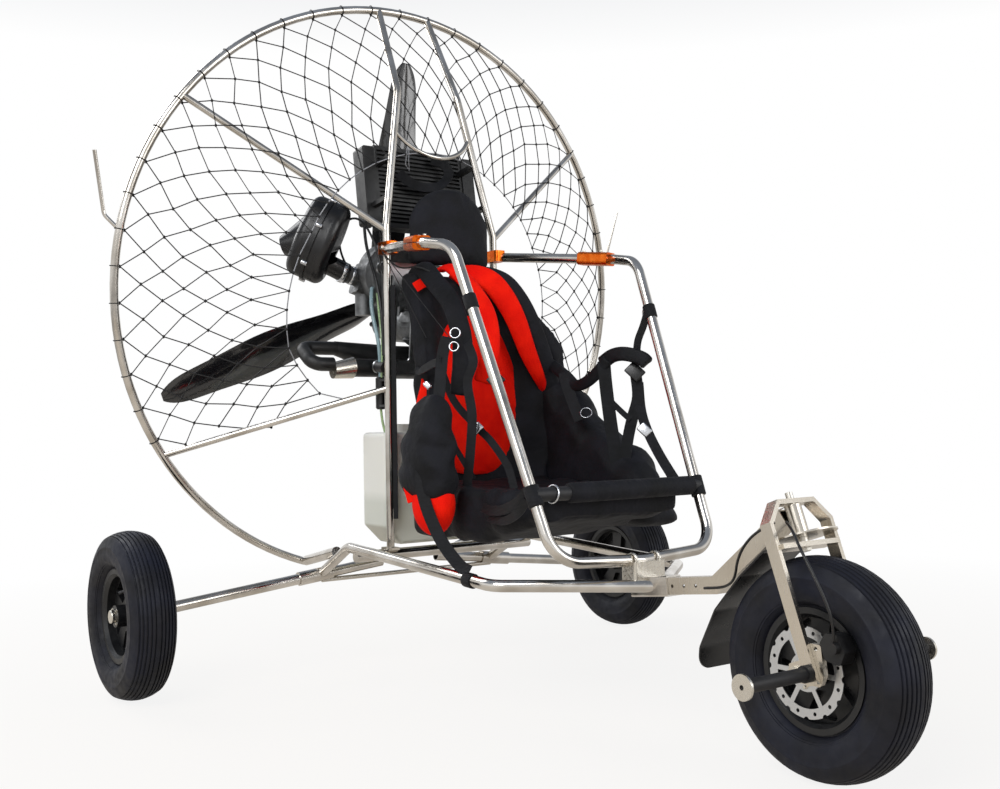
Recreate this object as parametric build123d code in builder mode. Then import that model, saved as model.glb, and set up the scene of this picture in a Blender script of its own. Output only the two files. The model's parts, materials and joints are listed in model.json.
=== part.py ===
from build123d import *
from math import atan2, cos, degrees, radians, sin, tan
import os

# Paramotor trike, in millimetres: +X to the nose, +Y to the pilot's left, +Z up.
# The origin is on the floor, midway between the rear axle and the front axle.
# Stations are measured forwards from the rear axle, and at() turns them into X.

# Stance and wheels
WHEELBASE = 1423
TRACK = 1548
TYRE_RADIUS = 200
TYRE_WIDTH = 109
TYRE_SHOULDER_IN = 11
TYRE_SHOULDER_DOWN = 12
TYRE_BULGE_DOWN = 51
BEAD_RADIUS = 102
BEAD_HALF = 31
BEAD_RISE = 12
RIM_LIP = 9
RIM_LIP_THICK = 4
RIM_WALL = 9
HUB_RADIUS = 26
HUB_HALF = 37
SPOKE_COUNT = 5
SPOKE_HALF = 9
WINDOW_IN = 12
WINDOW_OUT = 6
WINDOW_NARROW = 10
WINDOW_WIDE = 36
AXLE_RADIUS = 10
AXLE_SHOULDER = 5
WHEEL_NUT = 6
WHEEL_NUT_LENGTH = 12

# Clearances: parts that touch, turning parts, and wheels beside their shoulders
SEAT = 0.3
RUN = 0.3

# Propeller cage, whose hoop leans its top forwards and is open at the bottom
HOOP_RADIUS = 782
HOOP_TUBE = 10.5
HOOP_LEAN = 6.3
HOOP_X = -76
HOOP_Z = 1008
HOOP_OPEN = 18
HOOP_PLUG = 90
SPAR_TUBE = 8.5
GUARD_TUBE = 5
GUARD_ANGLE = 9
GUARD_BEND = 25
GUARD_KNEE = (-77, 805, 1167)
GUARD_TIP = (-51, 834, 1317)

# Masts, and what stands on them
MAST_TUBE = 10
MAST_X = 190
MAST_Y = 168
MAST_BEND_Z = 1150
MAST_HEAD = (135, 95, 1529)
MAST_TOP_Y = 78
MAST_BEND = 60
MAST_FOOT = (46, 34, 6)
HANDLE_TUBE = 6
HANDLE_SHARE = 0.71
HANDLE_DROP = 68
HANDLE_BOW = 29

# Lower frame
BEAM_TUBE = 13
BEAM_Y = 270
BEAM_TAIL_Z = 249
BEAM_HUMP = (155, 334)
BEAM_ELBOW = (782, 303)
BEAM_BEND = 55
BASE_TUBE = 14
BASE_Z = 312
ARM_TUBE = 14
ARM_WALL = 2
ARM_ROOT_Y = 88
ARM_ROOT_Z = 251
ARM_OPEN_DEPTH = 70
SLEEVE_TUBE = 18
SLEEVE_FROM = 240
SLEEVE_LENGTH = 96
SOCKET_TUBE = 13.5
SOCKET_ON_BEAM = (90, 317)
SOCKET_CLEAR = 20
TIE_TUBE = 6
TIE_Z = 236
TIE_X = 4

# Nose beam: a square tube in a square socket, rising to the head
NOSE_SIZE = 34
NOSE_WALL = 2.5
NOSE_KNEE = (1174, 321.5)
NOSE_SLOPE = 6.8
NOSE_RISE = 39
NOSE_RUN = 225
GUSSET_THICK = 3
GUSSET_FOOT = 95
GUSSET_TOP = 303
GUSSET_BITE = 0.9
SOCKET_FROM = 936
SOCKET_TO = 1046
SOCKET_WALL = 3.5
SOCKET_OVERLAP = 96
PIN_HOLE = 3.5
PIN_HOLES = (1058, 1091, 1124)

# Front loop and its arms
LOOP_TUBE = 12.5
LOOP_BEND = 70
ARM_START = (190, 168, 1095)
COLLAR = (504, 269, 1059)
COLLAR_LENGTH = 88
COLLAR_WIDTH = 44
COLLAR_HEIGHT = 33
COLLAR_CORNER = 9
COLLAR_SPLIT = 3
LOOP_LEAD = 55
LOOP_SHOULDER = (655, 271, 1035)
LOOP_FOOT = (938, 224, 360)
LOOP_MIDDLE = (955, 350)
BRACKET = (58, 34, 30)
SADDLE = (46, 86)
HOOK_TUBE = 3
HOOK_Y = 32
HOOK_GAP = 0.5

# Steering: the head axis leans back and passes ahead of the front axle
RAKE = 20
AXIS_LEAD = 38
STEER_RADIUS = 7
HEAD_TUBE = 15.5
HEAD_FROM = 248
HEAD_TO = 303
LEG_OUTER = 86
LEG_THICK = 9
LEG_DEPTH = 25
LEG_FOOT = -12
LEG_TOP = 274
ARCH_TOP = 314
ARCH_HALF = 50
CROWN_FROM = 223
CROWN_THICK = 9
CROWN_DEPTH = 40
SPINDLE_STUB = 14
SPINDLE_NUT = 11
NUT_HEIGHT = 6
DISC_PLATE = 66
DISC_PLATE_THICK = 3
BEARING = 17
GUARD_WIDTH = 113
GUARD_THICK = 3.4
PEG_TUBE = 12
PEG_SOCKET = 15
PEG_SOCKET_LENGTH = 13
PEG_LENGTH = 160
PEG_RISE = 9
PEG_PLATE = 22
PEG_PLATE_THICK = 5
AXLE_PLATE_THICK = 11
AXLE_PLATE_OUTLINE = ((-16, -14), (52, -14), (60, 6), (54, 58), (30, 58), (20, 30), (-16, 16))
AXLE_PLATE_ROUND = 5
TOW_HOLE_AT = (43, 50)
TOW_HOLE = 4
AXLE_NUT = 15
AXLE_NUT_LENGTH = 7

# Brake
BRAKE_RADIUS = 81
BRAKE_BAND = 18
BRAKE_THICK = 2.3
BRAKE_Y = -50
BRAKE_ARMS = 6
BRAKE_WAVES = 12
CARRIER_RADIUS = 34
CALIPER_GAP = 6
CALIPER_FROM = -46
CALIPER_OUTLINE = ((62, 34), (94, 28), (104, 52), (88, 80), (64, 80), (52, 62))
CALIPER_ROUND = 6
KNOB_AT = (86, 58)
KNOB_RADIUS = 10
KNOB_DEPTH = 3
KNOB_REACH = 8
CABLE_RADIUS = 2.6

# Power unit
HUB_X = -132
HUB_Z = 990
BLADE_REACH = 690
BLADE_ANGLES = (86, 203, 323)
BOSS_RADIUS = 44
BOSS_HALF = 13
FLANGE_RADIUS = 40
FLANGE_THICK = 7
SHAFT_RADIUS = 14
SHAFT_LENGTH = 46
GEARBOX_FROM = 34
GEARBOX_DEPTH = 38
GEARBOX_TOP = 42
GEARBOX_FOOT = 50
CRANK_DROP = 54
CRANK_RADIUS = 52
CRANK_DEPTH = 130
STARTER_RADIUS = 62
STARTER_SLOTS = 10
BARREL_WIDTH = 96
BARREL_DEPTH = 100
BARREL_HEIGHT = 150
COVER_RADIUS = 84
COVER_AT = (-95, 74)
COVER_DEPTH = 48
COVER_STEP = 14
THROAT_ROOT = (44, -46, 1000)
THROAT_DIR = (-0.08, -0.954, 0.287)
THROAT_RADIUS = 24
THROAT_LENGTH = 160
CARB_FROM = 84
CARB_BODY = (64, 84)
CARB_ROUND = 12
CARB_DEPTH = 46
CARB_CAP = (68, -150, 1012)
CAP_SIZE = (19, 30)
CARB_BOWL = (36, -150, 1000)
BOWL_SIZE = (24, 64)
AIR_AT = (34, -282, 1130)
AIR_SIZE = (110, 64)
AIR_DEPTH = 104
AIR_ROUND = 24
AIR_SEAM = 8
AIR_LIP = 5
NECK_DROP = 46
NECK_INSET = -4
NECK_RADIUS = 27
DUCT_RISE = 8
DUCT_END = (-31, -350, 1117)
DUCT_ROOT_SIZE = (78, 44)
DUCT_END_SIZE = (27, 34)
NOSTRIL_PITCH = 32
NOSTRIL_RADIUS = 12
NOSTRIL_DEPTH = 30
HEAD_WIDTH = 108
HEAD_HEIGHT = 34
PLATE_AT = 284
PLATE_THICK = 6
PLATE_HEIGHT = 290
PLATE_DROP = 38
PLATE_HALF = 132
PLATE_ROUND = 16
PLATE_EAR = 34
PLATE_UPPER_WINDOW = (150, 70)
PLATE_UPPER_AT = (0, 62)
PLATE_SIDE_WINDOW = (44, 180)
PLATE_SIDE_AT = (95, -60)
WINDOW_ROUND = 10
MOUNT_RISE = 128
RUBBER_RADIUS = 14

# Exhaust: chamber, cone and return bend, then the silencer with its bright end
CHAMBER_X = 28
CHAMBER_Z = 812
CHAMBER_RADIUS = 45
CHAMBER_HALF = 62
CONE_END = (-236, 846)
PIPE_RADIUS = 18
RETURN_Y = -334
SILENCER_X = 98
SILENCER_Z = 792
SILENCER_RADIUS = 24
SILENCER_FROM = -222
SILENCER_LENGTH = 330
TIP_LENGTH = 56
TIP_RADIUS = 28

# Radiator, tank and filter
RADIATOR = (72, 1276)
RADIATOR_SIZE = (276, 42, 224)
RADIATOR_TILT = 8.3
RADIATOR_TANK = (38, 50, 212)
RADIATOR_EDGE = 8
LUG_SIZE = (16, 12)
LUGS = ((-58, 152), (58, 130))
SLAT_PITCH = 11.5
SLAT_GAP = 6
SLAT_DEPTH = 9
TANK_DEPTH = 120
TANK_BOTTOM = 332
TANK_TOP = 622
TANK_HALF = 176
TANK_CHAMFER = 48
TANK_ROUND = 12
CAP_RADIUS = 30
CAP_HEIGHT = 22
FILTER_RADIUS = 13
FILTER_AT = (150, 168, 682)
FILTER_LENGTH = 84

# Harness
HARNESS_HALF = 205
BACK_HALF = 172
BACK_BOTTOM = 400
BACK_TOP = 1050
BACK_THICK = 140
BACK_SLOPE = 150
PAD_ROUND = 20
BACK_SLIM = 70
SEAT_FRONT = 862
SEAT_TOP = 505
SEAT_BOTTOM = 372
ROLL = (885, 495)
ROLL_RADIUS = 15
HEAD_PAD_HALF = 121
HEAD_PAD_SIDE = 58
HEAD_PAD_TOP = 1258
HEAD_PAD_THICK = 46

REAR = -WHEELBASE / 2
NOSE = WHEELBASE / 2
LEAN = radians(HOOP_LEAN)

os.makedirs("parts", exist_ok=True)


def at(station, y, z):
    """A point given by its station forward of the rear axle."""
    return (REAR + station, y, z)


def on_side(sign, point):
    """The same point on the side that the sign names."""
    return (point[0], sign * point[1], point[2])


def rod(plane, radius, length, bore=0.0):
    """A straight round bar along a plane's normal."""
    with BuildPart() as bar:
        with BuildSketch(plane):
            Circle(radius)
            if bore:
                Circle(bore, mode=Mode.SUBTRACT)
        extrude(amount=length)
    return bar.part


def tube(points, radius, bend=1.0):
    """A round tube through the points, its corners bent to one radius."""
    with BuildPart() as bar:
        with BuildLine() as route:
            if len(points) > 2:
                FilletPolyline(*points, radius=bend)
            else:
                Line(*points)
        with BuildSketch(Plane(origin=route.line @ 0, z_dir=route.line % 0)):
            Circle(radius)
        sweep(path=route.line)
    return bar.part


# Hoop plane: x to the pilot's left, y up the leaning hoop
HOOP = Plane(
    origin=at(HOOP_X, 0, HOOP_Z),
    x_dir=(0, 1, 0),
    z_dir=(cos(LEAN), 0, -sin(LEAN)),
)


def hoop_point(angle):
    """A point on the hoop's centreline, by its angle up from the pilot's left."""
    turn = radians(angle)
    local = (HOOP_RADIUS * cos(turn), HOOP_RADIUS * sin(turn), 0)
    return tuple(HOOP.from_local_coords(local))


# Wheels: a balloon tyre on a moulded rim with five spokes
def wheel_side(centre):
    """The plane of a wheel's side, its normal to the pilot's right."""
    return Plane(origin=centre, x_dir=(1, 0, 0), z_dir=(0, -1, 0))


def wheel_section(centre):
    """The plane of a wheel's section: x along the axle, y up."""
    return Plane(origin=centre, x_dir=(0, 1, 0), z_dir=(1, 0, 0))


def tyre_at(centre):
    """A tyre, as one closed ring on its bead seats."""
    bead = BEAD_RADIUS + SEAT
    edge = bead + BEAD_RISE
    bulge = TYRE_RADIUS - TYRE_BULGE_DOWN
    shoulder = (TYRE_WIDTH / 2 - TYRE_SHOULDER_IN, TYRE_RADIUS - TYRE_SHOULDER_DOWN)
    mirrored = (-shoulder[0], shoulder[1])
    with BuildPart() as tyre:
        with BuildSketch(wheel_section(centre)):
            with BuildLine():
                Polyline((-BEAD_HALF, edge), (-BEAD_HALF, bead), (BEAD_HALF, bead), (BEAD_HALF, edge))
                ThreePointArc((BEAD_HALF, edge), (TYRE_WIDTH / 2, bulge), shoulder)
                ThreePointArc(shoulder, (0, TYRE_RADIUS), mirrored)
                ThreePointArc(mirrored, (-TYRE_WIDTH / 2, bulge), (-BEAD_HALF, edge))
            make_face()
        revolve(axis=Axis(centre, (0, 1, 0)))
    return tyre.part


with BuildSketch() as rim_window:
    with BuildLine():
        Polyline(
            (HUB_RADIUS + WINDOW_IN, -WINDOW_NARROW),
            (BEAD_RADIUS - RIM_WALL - WINDOW_OUT, -WINDOW_WIDE),
            (BEAD_RADIUS - RIM_WALL - WINDOW_OUT, WINDOW_WIDE),
            (HUB_RADIUS + WINDOW_IN, WINDOW_NARROW),
            close=True,
        )
    make_face()
    fillet(rim_window.vertices(), WINDOW_OUT)


def rim_at(centre):
    """A rim: a turned barrel with lips, five spokes and a bored hub."""
    lip = BEAD_HALF + SEAT
    barrel = BEAD_RADIUS - RIM_WALL
    with BuildPart() as rim:
        with BuildSketch(wheel_section(centre)):
            with BuildLine():
                Polyline(
                    (-lip - RIM_LIP_THICK, BEAD_RADIUS + RIM_LIP),
                    (-lip, BEAD_RADIUS + RIM_LIP),
                    (-lip, BEAD_RADIUS),
                    (lip, BEAD_RADIUS),
                    (lip, BEAD_RADIUS + RIM_LIP),
                    (lip + RIM_LIP_THICK, BEAD_RADIUS + RIM_LIP),
                    (lip + RIM_LIP_THICK, BEAD_RADIUS - RIM_LIP_THICK / 2),
                    (lip - RIM_LIP_THICK, barrel),
                    (-lip + RIM_LIP_THICK, barrel),
                    (-lip - RIM_LIP_THICK, BEAD_RADIUS - RIM_LIP_THICK / 2),
                    close=True,
                )
            make_face()
        revolve(axis=Axis(centre, (0, 1, 0)))
        with BuildSketch(wheel_side(centre)):
            Circle(barrel + 1)
            with PolarLocations(0, SPOKE_COUNT, start_angle=90 + 180 / SPOKE_COUNT):
                add(rim_window.sketch, mode=Mode.SUBTRACT)
        extrude(amount=SPOKE_HALF, both=True)
        with BuildSketch(wheel_side(centre)):
            Circle(HUB_RADIUS)
        extrude(amount=HUB_HALF, both=True)
        with Locations(wheel_side(centre)):
            Cylinder(AXLE_RADIUS + RUN, 4 * HUB_HALF, mode=Mode.SUBTRACT)
    return rim.part


WHEELS = (
    ("rear_{}_right", at(0, -TRACK / 2, TYRE_RADIUS)),
    ("rear_{}_left", at(0, TRACK / 2, TYRE_RADIUS)),
    ("front_{}", (NOSE, 0, TYRE_RADIUS)),
)
for name, centre in WHEELS:
    tyre = tyre_at(centre)
    tyre.label = name.format("tyre")
    export_step(tyre, f"parts/{tyre.label}.step")
    rim = rim_at(centre)
    rim.label = name.format("rim")
    export_step(rim, f"parts/{rim.label}.step")


# Nose socket: a square sleeve at the beams' front ends
SLOPE = (cos(radians(NOSE_SLOPE)), sin(radians(NOSE_SLOPE)))


def nose_z(station):
    """Height of the nose beam's level run at a station."""
    return NOSE_KNEE[1] + (station - NOSE_KNEE[0]) * SLOPE[1] / SLOPE[0]


socket_bore = NOSE_SIZE + 2 * SEAT
socket_size = socket_bore + 2 * SOCKET_WALL
socket_mouth = Plane(
    origin=at(SOCKET_FROM, 0, nose_z(SOCKET_FROM)),
    x_dir=(0, 1, 0),
    z_dir=(SLOPE[0], 0, SLOPE[1]),
)
with BuildPart() as socket_block:
    with BuildSketch(socket_mouth):
        RectangleRounded(socket_size, socket_size, SOCKET_WALL)
    extrude(amount=(SOCKET_TO - SOCKET_FROM) / SLOPE[0])

with BuildPart() as nose_socket:
    add(socket_block.part)
    with BuildSketch(socket_mouth):
        Rectangle(socket_bore, socket_bore)
    extrude(amount=(SOCKET_TO - SOCKET_FROM) / SLOPE[0], mode=Mode.SUBTRACT)
nose_socket.part.label = "nose_socket"
export_step(nose_socket.part, "parts/nose_socket.step")

# Axle arms: tubes open at the root, with a stub axle and shoulder at the wheel
arm_tip = TRACK / 2 - HUB_HALF - AXLE_SHOULDER - SEAT
arm_slope = (ARM_ROOT_Z - TYRE_RADIUS) / (arm_tip - BEAM_Y)
hub_outer = TRACK / 2 + HUB_HALF + SEAT


def arm_at(y):
    """A point on the left axle arm's centreline."""
    return (REAR, y, ARM_ROOT_Z - (y - BEAM_Y) * arm_slope)


ARM_DIR = Vector(0, 1, -arm_slope).normalized()
stub_start = Plane(origin=(REAR, arm_tip, TYRE_RADIUS), z_dir=(0, 1, 0))
with BuildPart() as axle_arms:
    add(tube([arm_at(ARM_ROOT_Y), arm_at(arm_tip)], ARM_TUBE))
    add(rod(stub_start, AXLE_RADIUS + AXLE_SHOULDER, AXLE_SHOULDER))
    add(rod(stub_start.offset(-ARM_TUBE), AXLE_RADIUS, hub_outer - arm_tip + ARM_TUBE))
    root_plane = Plane(origin=arm_at(ARM_ROOT_Y), z_dir=ARM_DIR)
    add(rod(root_plane, ARM_TUBE - ARM_WALL, ARM_OPEN_DEPTH), mode=Mode.SUBTRACT)
    mirror(about=Plane.XZ)
axle_arms.part.label = "axle_arms"
export_step(axle_arms.part, "parts/axle_arms.step")

with BuildPart() as wheel_nuts:
    add(rod(stub_start.offset(hub_outer - arm_tip), AXLE_RADIUS + WHEEL_NUT, WHEEL_NUT_LENGTH))
    fillet(wheel_nuts.edges().group_by(Axis.Y)[-1], WHEEL_NUT / 2)
    mirror(about=Plane.XZ)
wheel_nuts.part.label = "wheel_nuts"
export_step(wheel_nuts.part, "parts/wheel_nuts.step")

# Side beams, each with the sleeve for an axle arm and the socket for a hoop end
hoop_end = Vector(hoop_point(-90 + HOOP_OPEN))
socket_seat = Vector(at(SOCKET_ON_BEAM[0], BEAM_Y, SOCKET_ON_BEAM[1]))
socket_dir = (socket_seat - hoop_end).normalized()
beam_end = SOCKET_TO - SOCKET_OVERLAP / 2
beam_route = [
    arm_at(BEAM_Y),
    at(BEAM_HUMP[0], BEAM_Y, BEAM_HUMP[1]),
    at(BEAM_ELBOW[0], BEAM_Y, BEAM_ELBOW[1]),
    at(beam_end, socket_size / 4, nose_z(beam_end)),
]
with BuildPart() as side_beams:
    add(tube(beam_route, BEAM_TUBE, bend=BEAM_BEND))
    add(rod(Plane(origin=arm_at(SLEEVE_FROM), z_dir=ARM_DIR), SLEEVE_TUBE, SLEEVE_LENGTH))
    mouth = Plane(origin=hoop_end + socket_dir * SOCKET_CLEAR, z_dir=socket_dir)
    add(rod(mouth, SOCKET_TUBE, (socket_seat - hoop_end).length - SOCKET_CLEAR))
    add(rod(mouth, HOOP_TUBE + SEAT, HOOP_PLUG), mode=Mode.SUBTRACT)
    arm_bore = Plane(origin=arm_at(ARM_ROOT_Y), z_dir=ARM_DIR)
    add(rod(arm_bore, ARM_TUBE + SEAT, arm_tip), mode=Mode.SUBTRACT)
    mirror(about=Plane.XZ)
    add(socket_block.part, mode=Mode.SUBTRACT)
side_beams.part.label = "side_beams"
export_step(side_beams.part, "parts/side_beams.step")

# Tie rod between the axle arms' roots
with BuildPart() as rear_tie:
    add(tube([at(TIE_X, -BEAM_Y, TIE_Z), at(TIE_X, BEAM_Y, TIE_Z)], TIE_TUBE))
    for solid in (side_beams.part, axle_arms.part):
        add(solid, mode=Mode.SUBTRACT)
    tie = rear_tie.solids().sort_by(SortBy.VOLUME)[-1]
with BuildPart() as rear_tie:
    add(tie)
rear_tie.part.label = "rear_tie"
export_step(rear_tie.part, "parts/rear_tie.step")

# Base tube across the beams, which carries the masts
with BuildPart() as base_tube:
    add(tube([at(MAST_X, -BEAM_Y, BASE_Z), at(MAST_X, BEAM_Y, BASE_Z)], BASE_TUBE))
    add(side_beams.part, mode=Mode.SUBTRACT)
base_tube.part.label = "base_tube"
export_step(base_tube.part, "parts/base_tube.step")

# Cage hoop, with a straight plug at each end for its socket
with BuildPart() as cage_hoop:
    with BuildLine(HOOP) as ring_line:
        CenterArc((0, 0), HOOP_RADIUS, -90 + HOOP_OPEN, 360 - 2 * HOOP_OPEN)
    with BuildSketch(Plane(origin=ring_line.line @ 0, z_dir=ring_line.line % 0)):
        Circle(HOOP_TUBE)
    sweep(path=ring_line.line)
    for sign in (-1, 1):
        end = on_side(sign, tuple(hoop_end))
        with Locations(end):
            Sphere(HOOP_TUBE)
        plug = Plane(origin=end, z_dir=on_side(sign, tuple(socket_dir)))
        add(rod(plug, HOOP_TUBE, HOOP_PLUG))
cage_hoop.part.label = "cage_hoop"
export_step(cage_hoop.part, "parts/cage_hoop.step")

# Masts: upright, then leaning in to the bend and back to the hoop's top
mast_top_angle = degrees(atan2((HOOP_RADIUS**2 - MAST_TOP_Y**2) ** 0.5, MAST_TOP_Y))
mast_route = [
    at(MAST_X, MAST_Y, BASE_Z),
    at(MAST_X, MAST_Y, MAST_BEND_Z),
    at(*MAST_HEAD),
    hoop_point(mast_top_angle),
]
with BuildPart() as masts:
    add(tube(mast_route, MAST_TUBE, bend=MAST_BEND))
    with BuildSketch(Plane(origin=at(MAST_X, MAST_Y, BASE_Z + BASE_TUBE - MAST_FOOT[2] / 2))):
        RectangleRounded(MAST_FOOT[0], MAST_FOOT[1], MAST_FOOT[2])
    extrude(amount=MAST_FOOT[2])
    mirror(about=Plane.XZ)
    add(base_tube.part, mode=Mode.SUBTRACT)
    add(cage_hoop.part, mode=Mode.SUBTRACT)
masts.part.label = "masts"
export_step(masts.part, "parts/masts.step")

with BuildPart() as mast_room:
    for sign in (-1, 1):
        add(tube([on_side(sign, p) for p in mast_route], MAST_TUBE + SEAT, bend=MAST_BEND))


def mast_point(share):
    """A point on the left mast's leaning part, by its share of the way up."""
    foot = Vector(at(MAST_X, MAST_Y, MAST_BEND_Z))
    head = Vector(at(*MAST_HEAD))
    return tuple(foot + (head - foot) * share)


# Bowed handle bar between the masts, above the engine
grip = mast_point(HANDLE_SHARE)
with BuildPart() as handle_bar:
    with BuildLine() as bow:
        middle = (grip[0] + HANDLE_BOW, 0, grip[2] - HANDLE_DROP)
        ThreePointArc(on_side(-1, grip), middle, grip)
    with BuildSketch(Plane(origin=bow.line @ 0, z_dir=bow.line % 0)):
        Circle(HANDLE_TUBE)
    sweep(path=bow.line)
    add(masts.part, mode=Mode.SUBTRACT)
handle_bar.part.label = "handle_bar"
export_step(handle_bar.part, "parts/handle_bar.step")

# Spars from the masts out to the hoop, each by its height on the mast and hoop angle
SPARS = ((1143, 37), (736, -34))
with BuildPart() as cage_spars:
    for mast_z, hoop_angle in SPARS:
        add(tube([at(MAST_X, MAST_Y, mast_z), hoop_point(hoop_angle)], SPAR_TUBE))
    mirror(about=Plane.XZ)
    add(masts.part, mode=Mode.SUBTRACT)
    add(cage_hoop.part, mode=Mode.SUBTRACT)
cage_spars.part.label = "cage_spars"
export_step(cage_spars.part, "parts/cage_spars.step")

# Line guards: bent rods at the hoop's sides that keep the wing's lines off it
with BuildPart() as line_guards:
    route = [hoop_point(GUARD_ANGLE), at(*GUARD_KNEE), at(*GUARD_TIP)]
    add(tube(route, GUARD_TUBE, bend=GUARD_BEND))
    mirror(about=Plane.XZ)
    add(cage_hoop.part, mode=Mode.SUBTRACT)
line_guards.part.label = "line_guards"
export_step(line_guards.part, "parts/line_guards.step")

# Front loop from collar to collar, and the arms that carry it
arm_root = Vector(at(*ARM_START))
collar = Vector(at(*COLLAR))
arm_axis = (collar - arm_root).normalized()
loop_side = [
    tuple(collar + arm_axis * SEAT),
    tuple(collar + arm_axis * LOOP_LEAD),
    at(*LOOP_SHOULDER),
    at(*LOOP_FOOT),
]
loop_route = (
    [on_side(-1, p) for p in loop_side]
    + [at(LOOP_MIDDLE[0], 0, LOOP_MIDDLE[1])]
    + [on_side(1, p) for p in reversed(loop_side)]
)
with BuildPart() as front_loop:
    add(tube(loop_route, LOOP_TUBE, bend=LOOP_BEND))
front_loop.part.label = "front_loop"
export_step(front_loop.part, "parts/front_loop.step")

with BuildPart() as arms:
    add(tube([tuple(arm_root), tuple(collar - arm_axis * SEAT)], LOOP_TUBE))
    mirror(about=Plane.XZ)
    add(mast_room.part, mode=Mode.SUBTRACT)
arms.part.label = "arms"
export_step(arms.part, "parts/arms.step")

# Brackets that hold the arms on the masts
with BuildPart() as mast_brackets:
    with BuildSketch(Plane(origin=at(MAST_X, MAST_Y, ARM_START[2] - BRACKET[2] / 2))):
        with Locations((BRACKET[0] / 2 - MAST_TUBE * 2, 0)):
            RectangleRounded(BRACKET[0], BRACKET[1], MAST_TUBE)
    extrude(amount=BRACKET[2])
    mirror(about=Plane.XZ)
    for solid in (mast_room.part, arms.part):
        add(solid, mode=Mode.SUBTRACT)
mast_brackets.part.label = "mast_brackets"
export_step(mast_brackets.part, "parts/mast_brackets.step")

# Collars: split clamp blocks that join each arm to the loop
with BuildPart() as collars:
    across_arm = arm_axis.cross(Vector(0, 0, 1)).normalized()
    block = Plane(origin=collar - arm_axis * COLLAR_LENGTH / 2, x_dir=across_arm, z_dir=arm_axis)
    with BuildSketch(block):
        RectangleRounded(COLLAR_WIDTH, COLLAR_HEIGHT, COLLAR_CORNER)
        Circle(LOOP_TUBE + SEAT, mode=Mode.SUBTRACT)
        with Locations((-COLLAR_WIDTH / 2, 0)):
            Rectangle(COLLAR_WIDTH, COLLAR_SPLIT, mode=Mode.SUBTRACT)
    extrude(amount=COLLAR_LENGTH)
    mirror(about=Plane.XZ)
collars.part.label = "collars"
export_step(collars.part, "parts/collars.step")

# Saddle and hooked bolts that clamp the loop's foot on the nose socket
saddle_x = REAR + LOOP_MIDDLE[0]
socket_top = nose_z(LOOP_MIDDLE[0]) + socket_size / 2 / SLOPE[0]
hook_reach = LOOP_TUBE + HOOK_TUBE + HOOK_GAP
with BuildPart() as loop_clamps:
    with BuildSketch(Plane.XY.offset(socket_top - BEAM_TUBE / 2)):
        with Locations((saddle_x, 0)):
            RectangleRounded(SADDLE[0], SADDLE[1], BEAM_TUBE / 2)
    extrude(amount=LOOP_MIDDLE[1] - socket_top + BEAM_TUBE / 2)
    for y in (-HOOK_Y, HOOK_Y):
        with BuildLine() as hook:
            FilletPolyline(
                (saddle_x - hook_reach, y, LOOP_MIDDLE[1] - LOOP_TUBE),
                (saddle_x - hook_reach, y, LOOP_MIDDLE[1] + hook_reach),
                (saddle_x + hook_reach, y, LOOP_MIDDLE[1] + hook_reach),
                (saddle_x + hook_reach, y, LOOP_MIDDLE[1] - LOOP_TUBE),
                radius=hook_reach - HOOK_GAP,
            )
        with BuildSketch(Plane(origin=hook.line @ 0, z_dir=hook.line % 0)):
            Circle(HOOK_TUBE)
        sweep(path=hook.line)
    for solid in (front_loop.part, socket_block.part, side_beams.part):
        add(solid, mode=Mode.SUBTRACT)
loop_clamps.part.label = "loop_clamps"
export_step(loop_clamps.part, "parts/loop_clamps.step")

# Fork plane: x across, y up the head axis, z forwards, its origin at axle height
rake = radians(RAKE)
HEAD = Plane(
    origin=(NOSE + AXIS_LEAD, 0, TYRE_RADIUS),
    x_dir=(0, 1, 0),
    z_dir=(cos(rake), 0, sin(rake)),
)
HEAD_UP = Vector(-sin(rake), 0, cos(rake))


def up_head(rise):
    """Plane across the head axis, at a height along it."""
    return Plane(origin=HEAD.origin + HEAD_UP * rise, x_dir=(0, 1, 0), z_dir=HEAD_UP)


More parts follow.
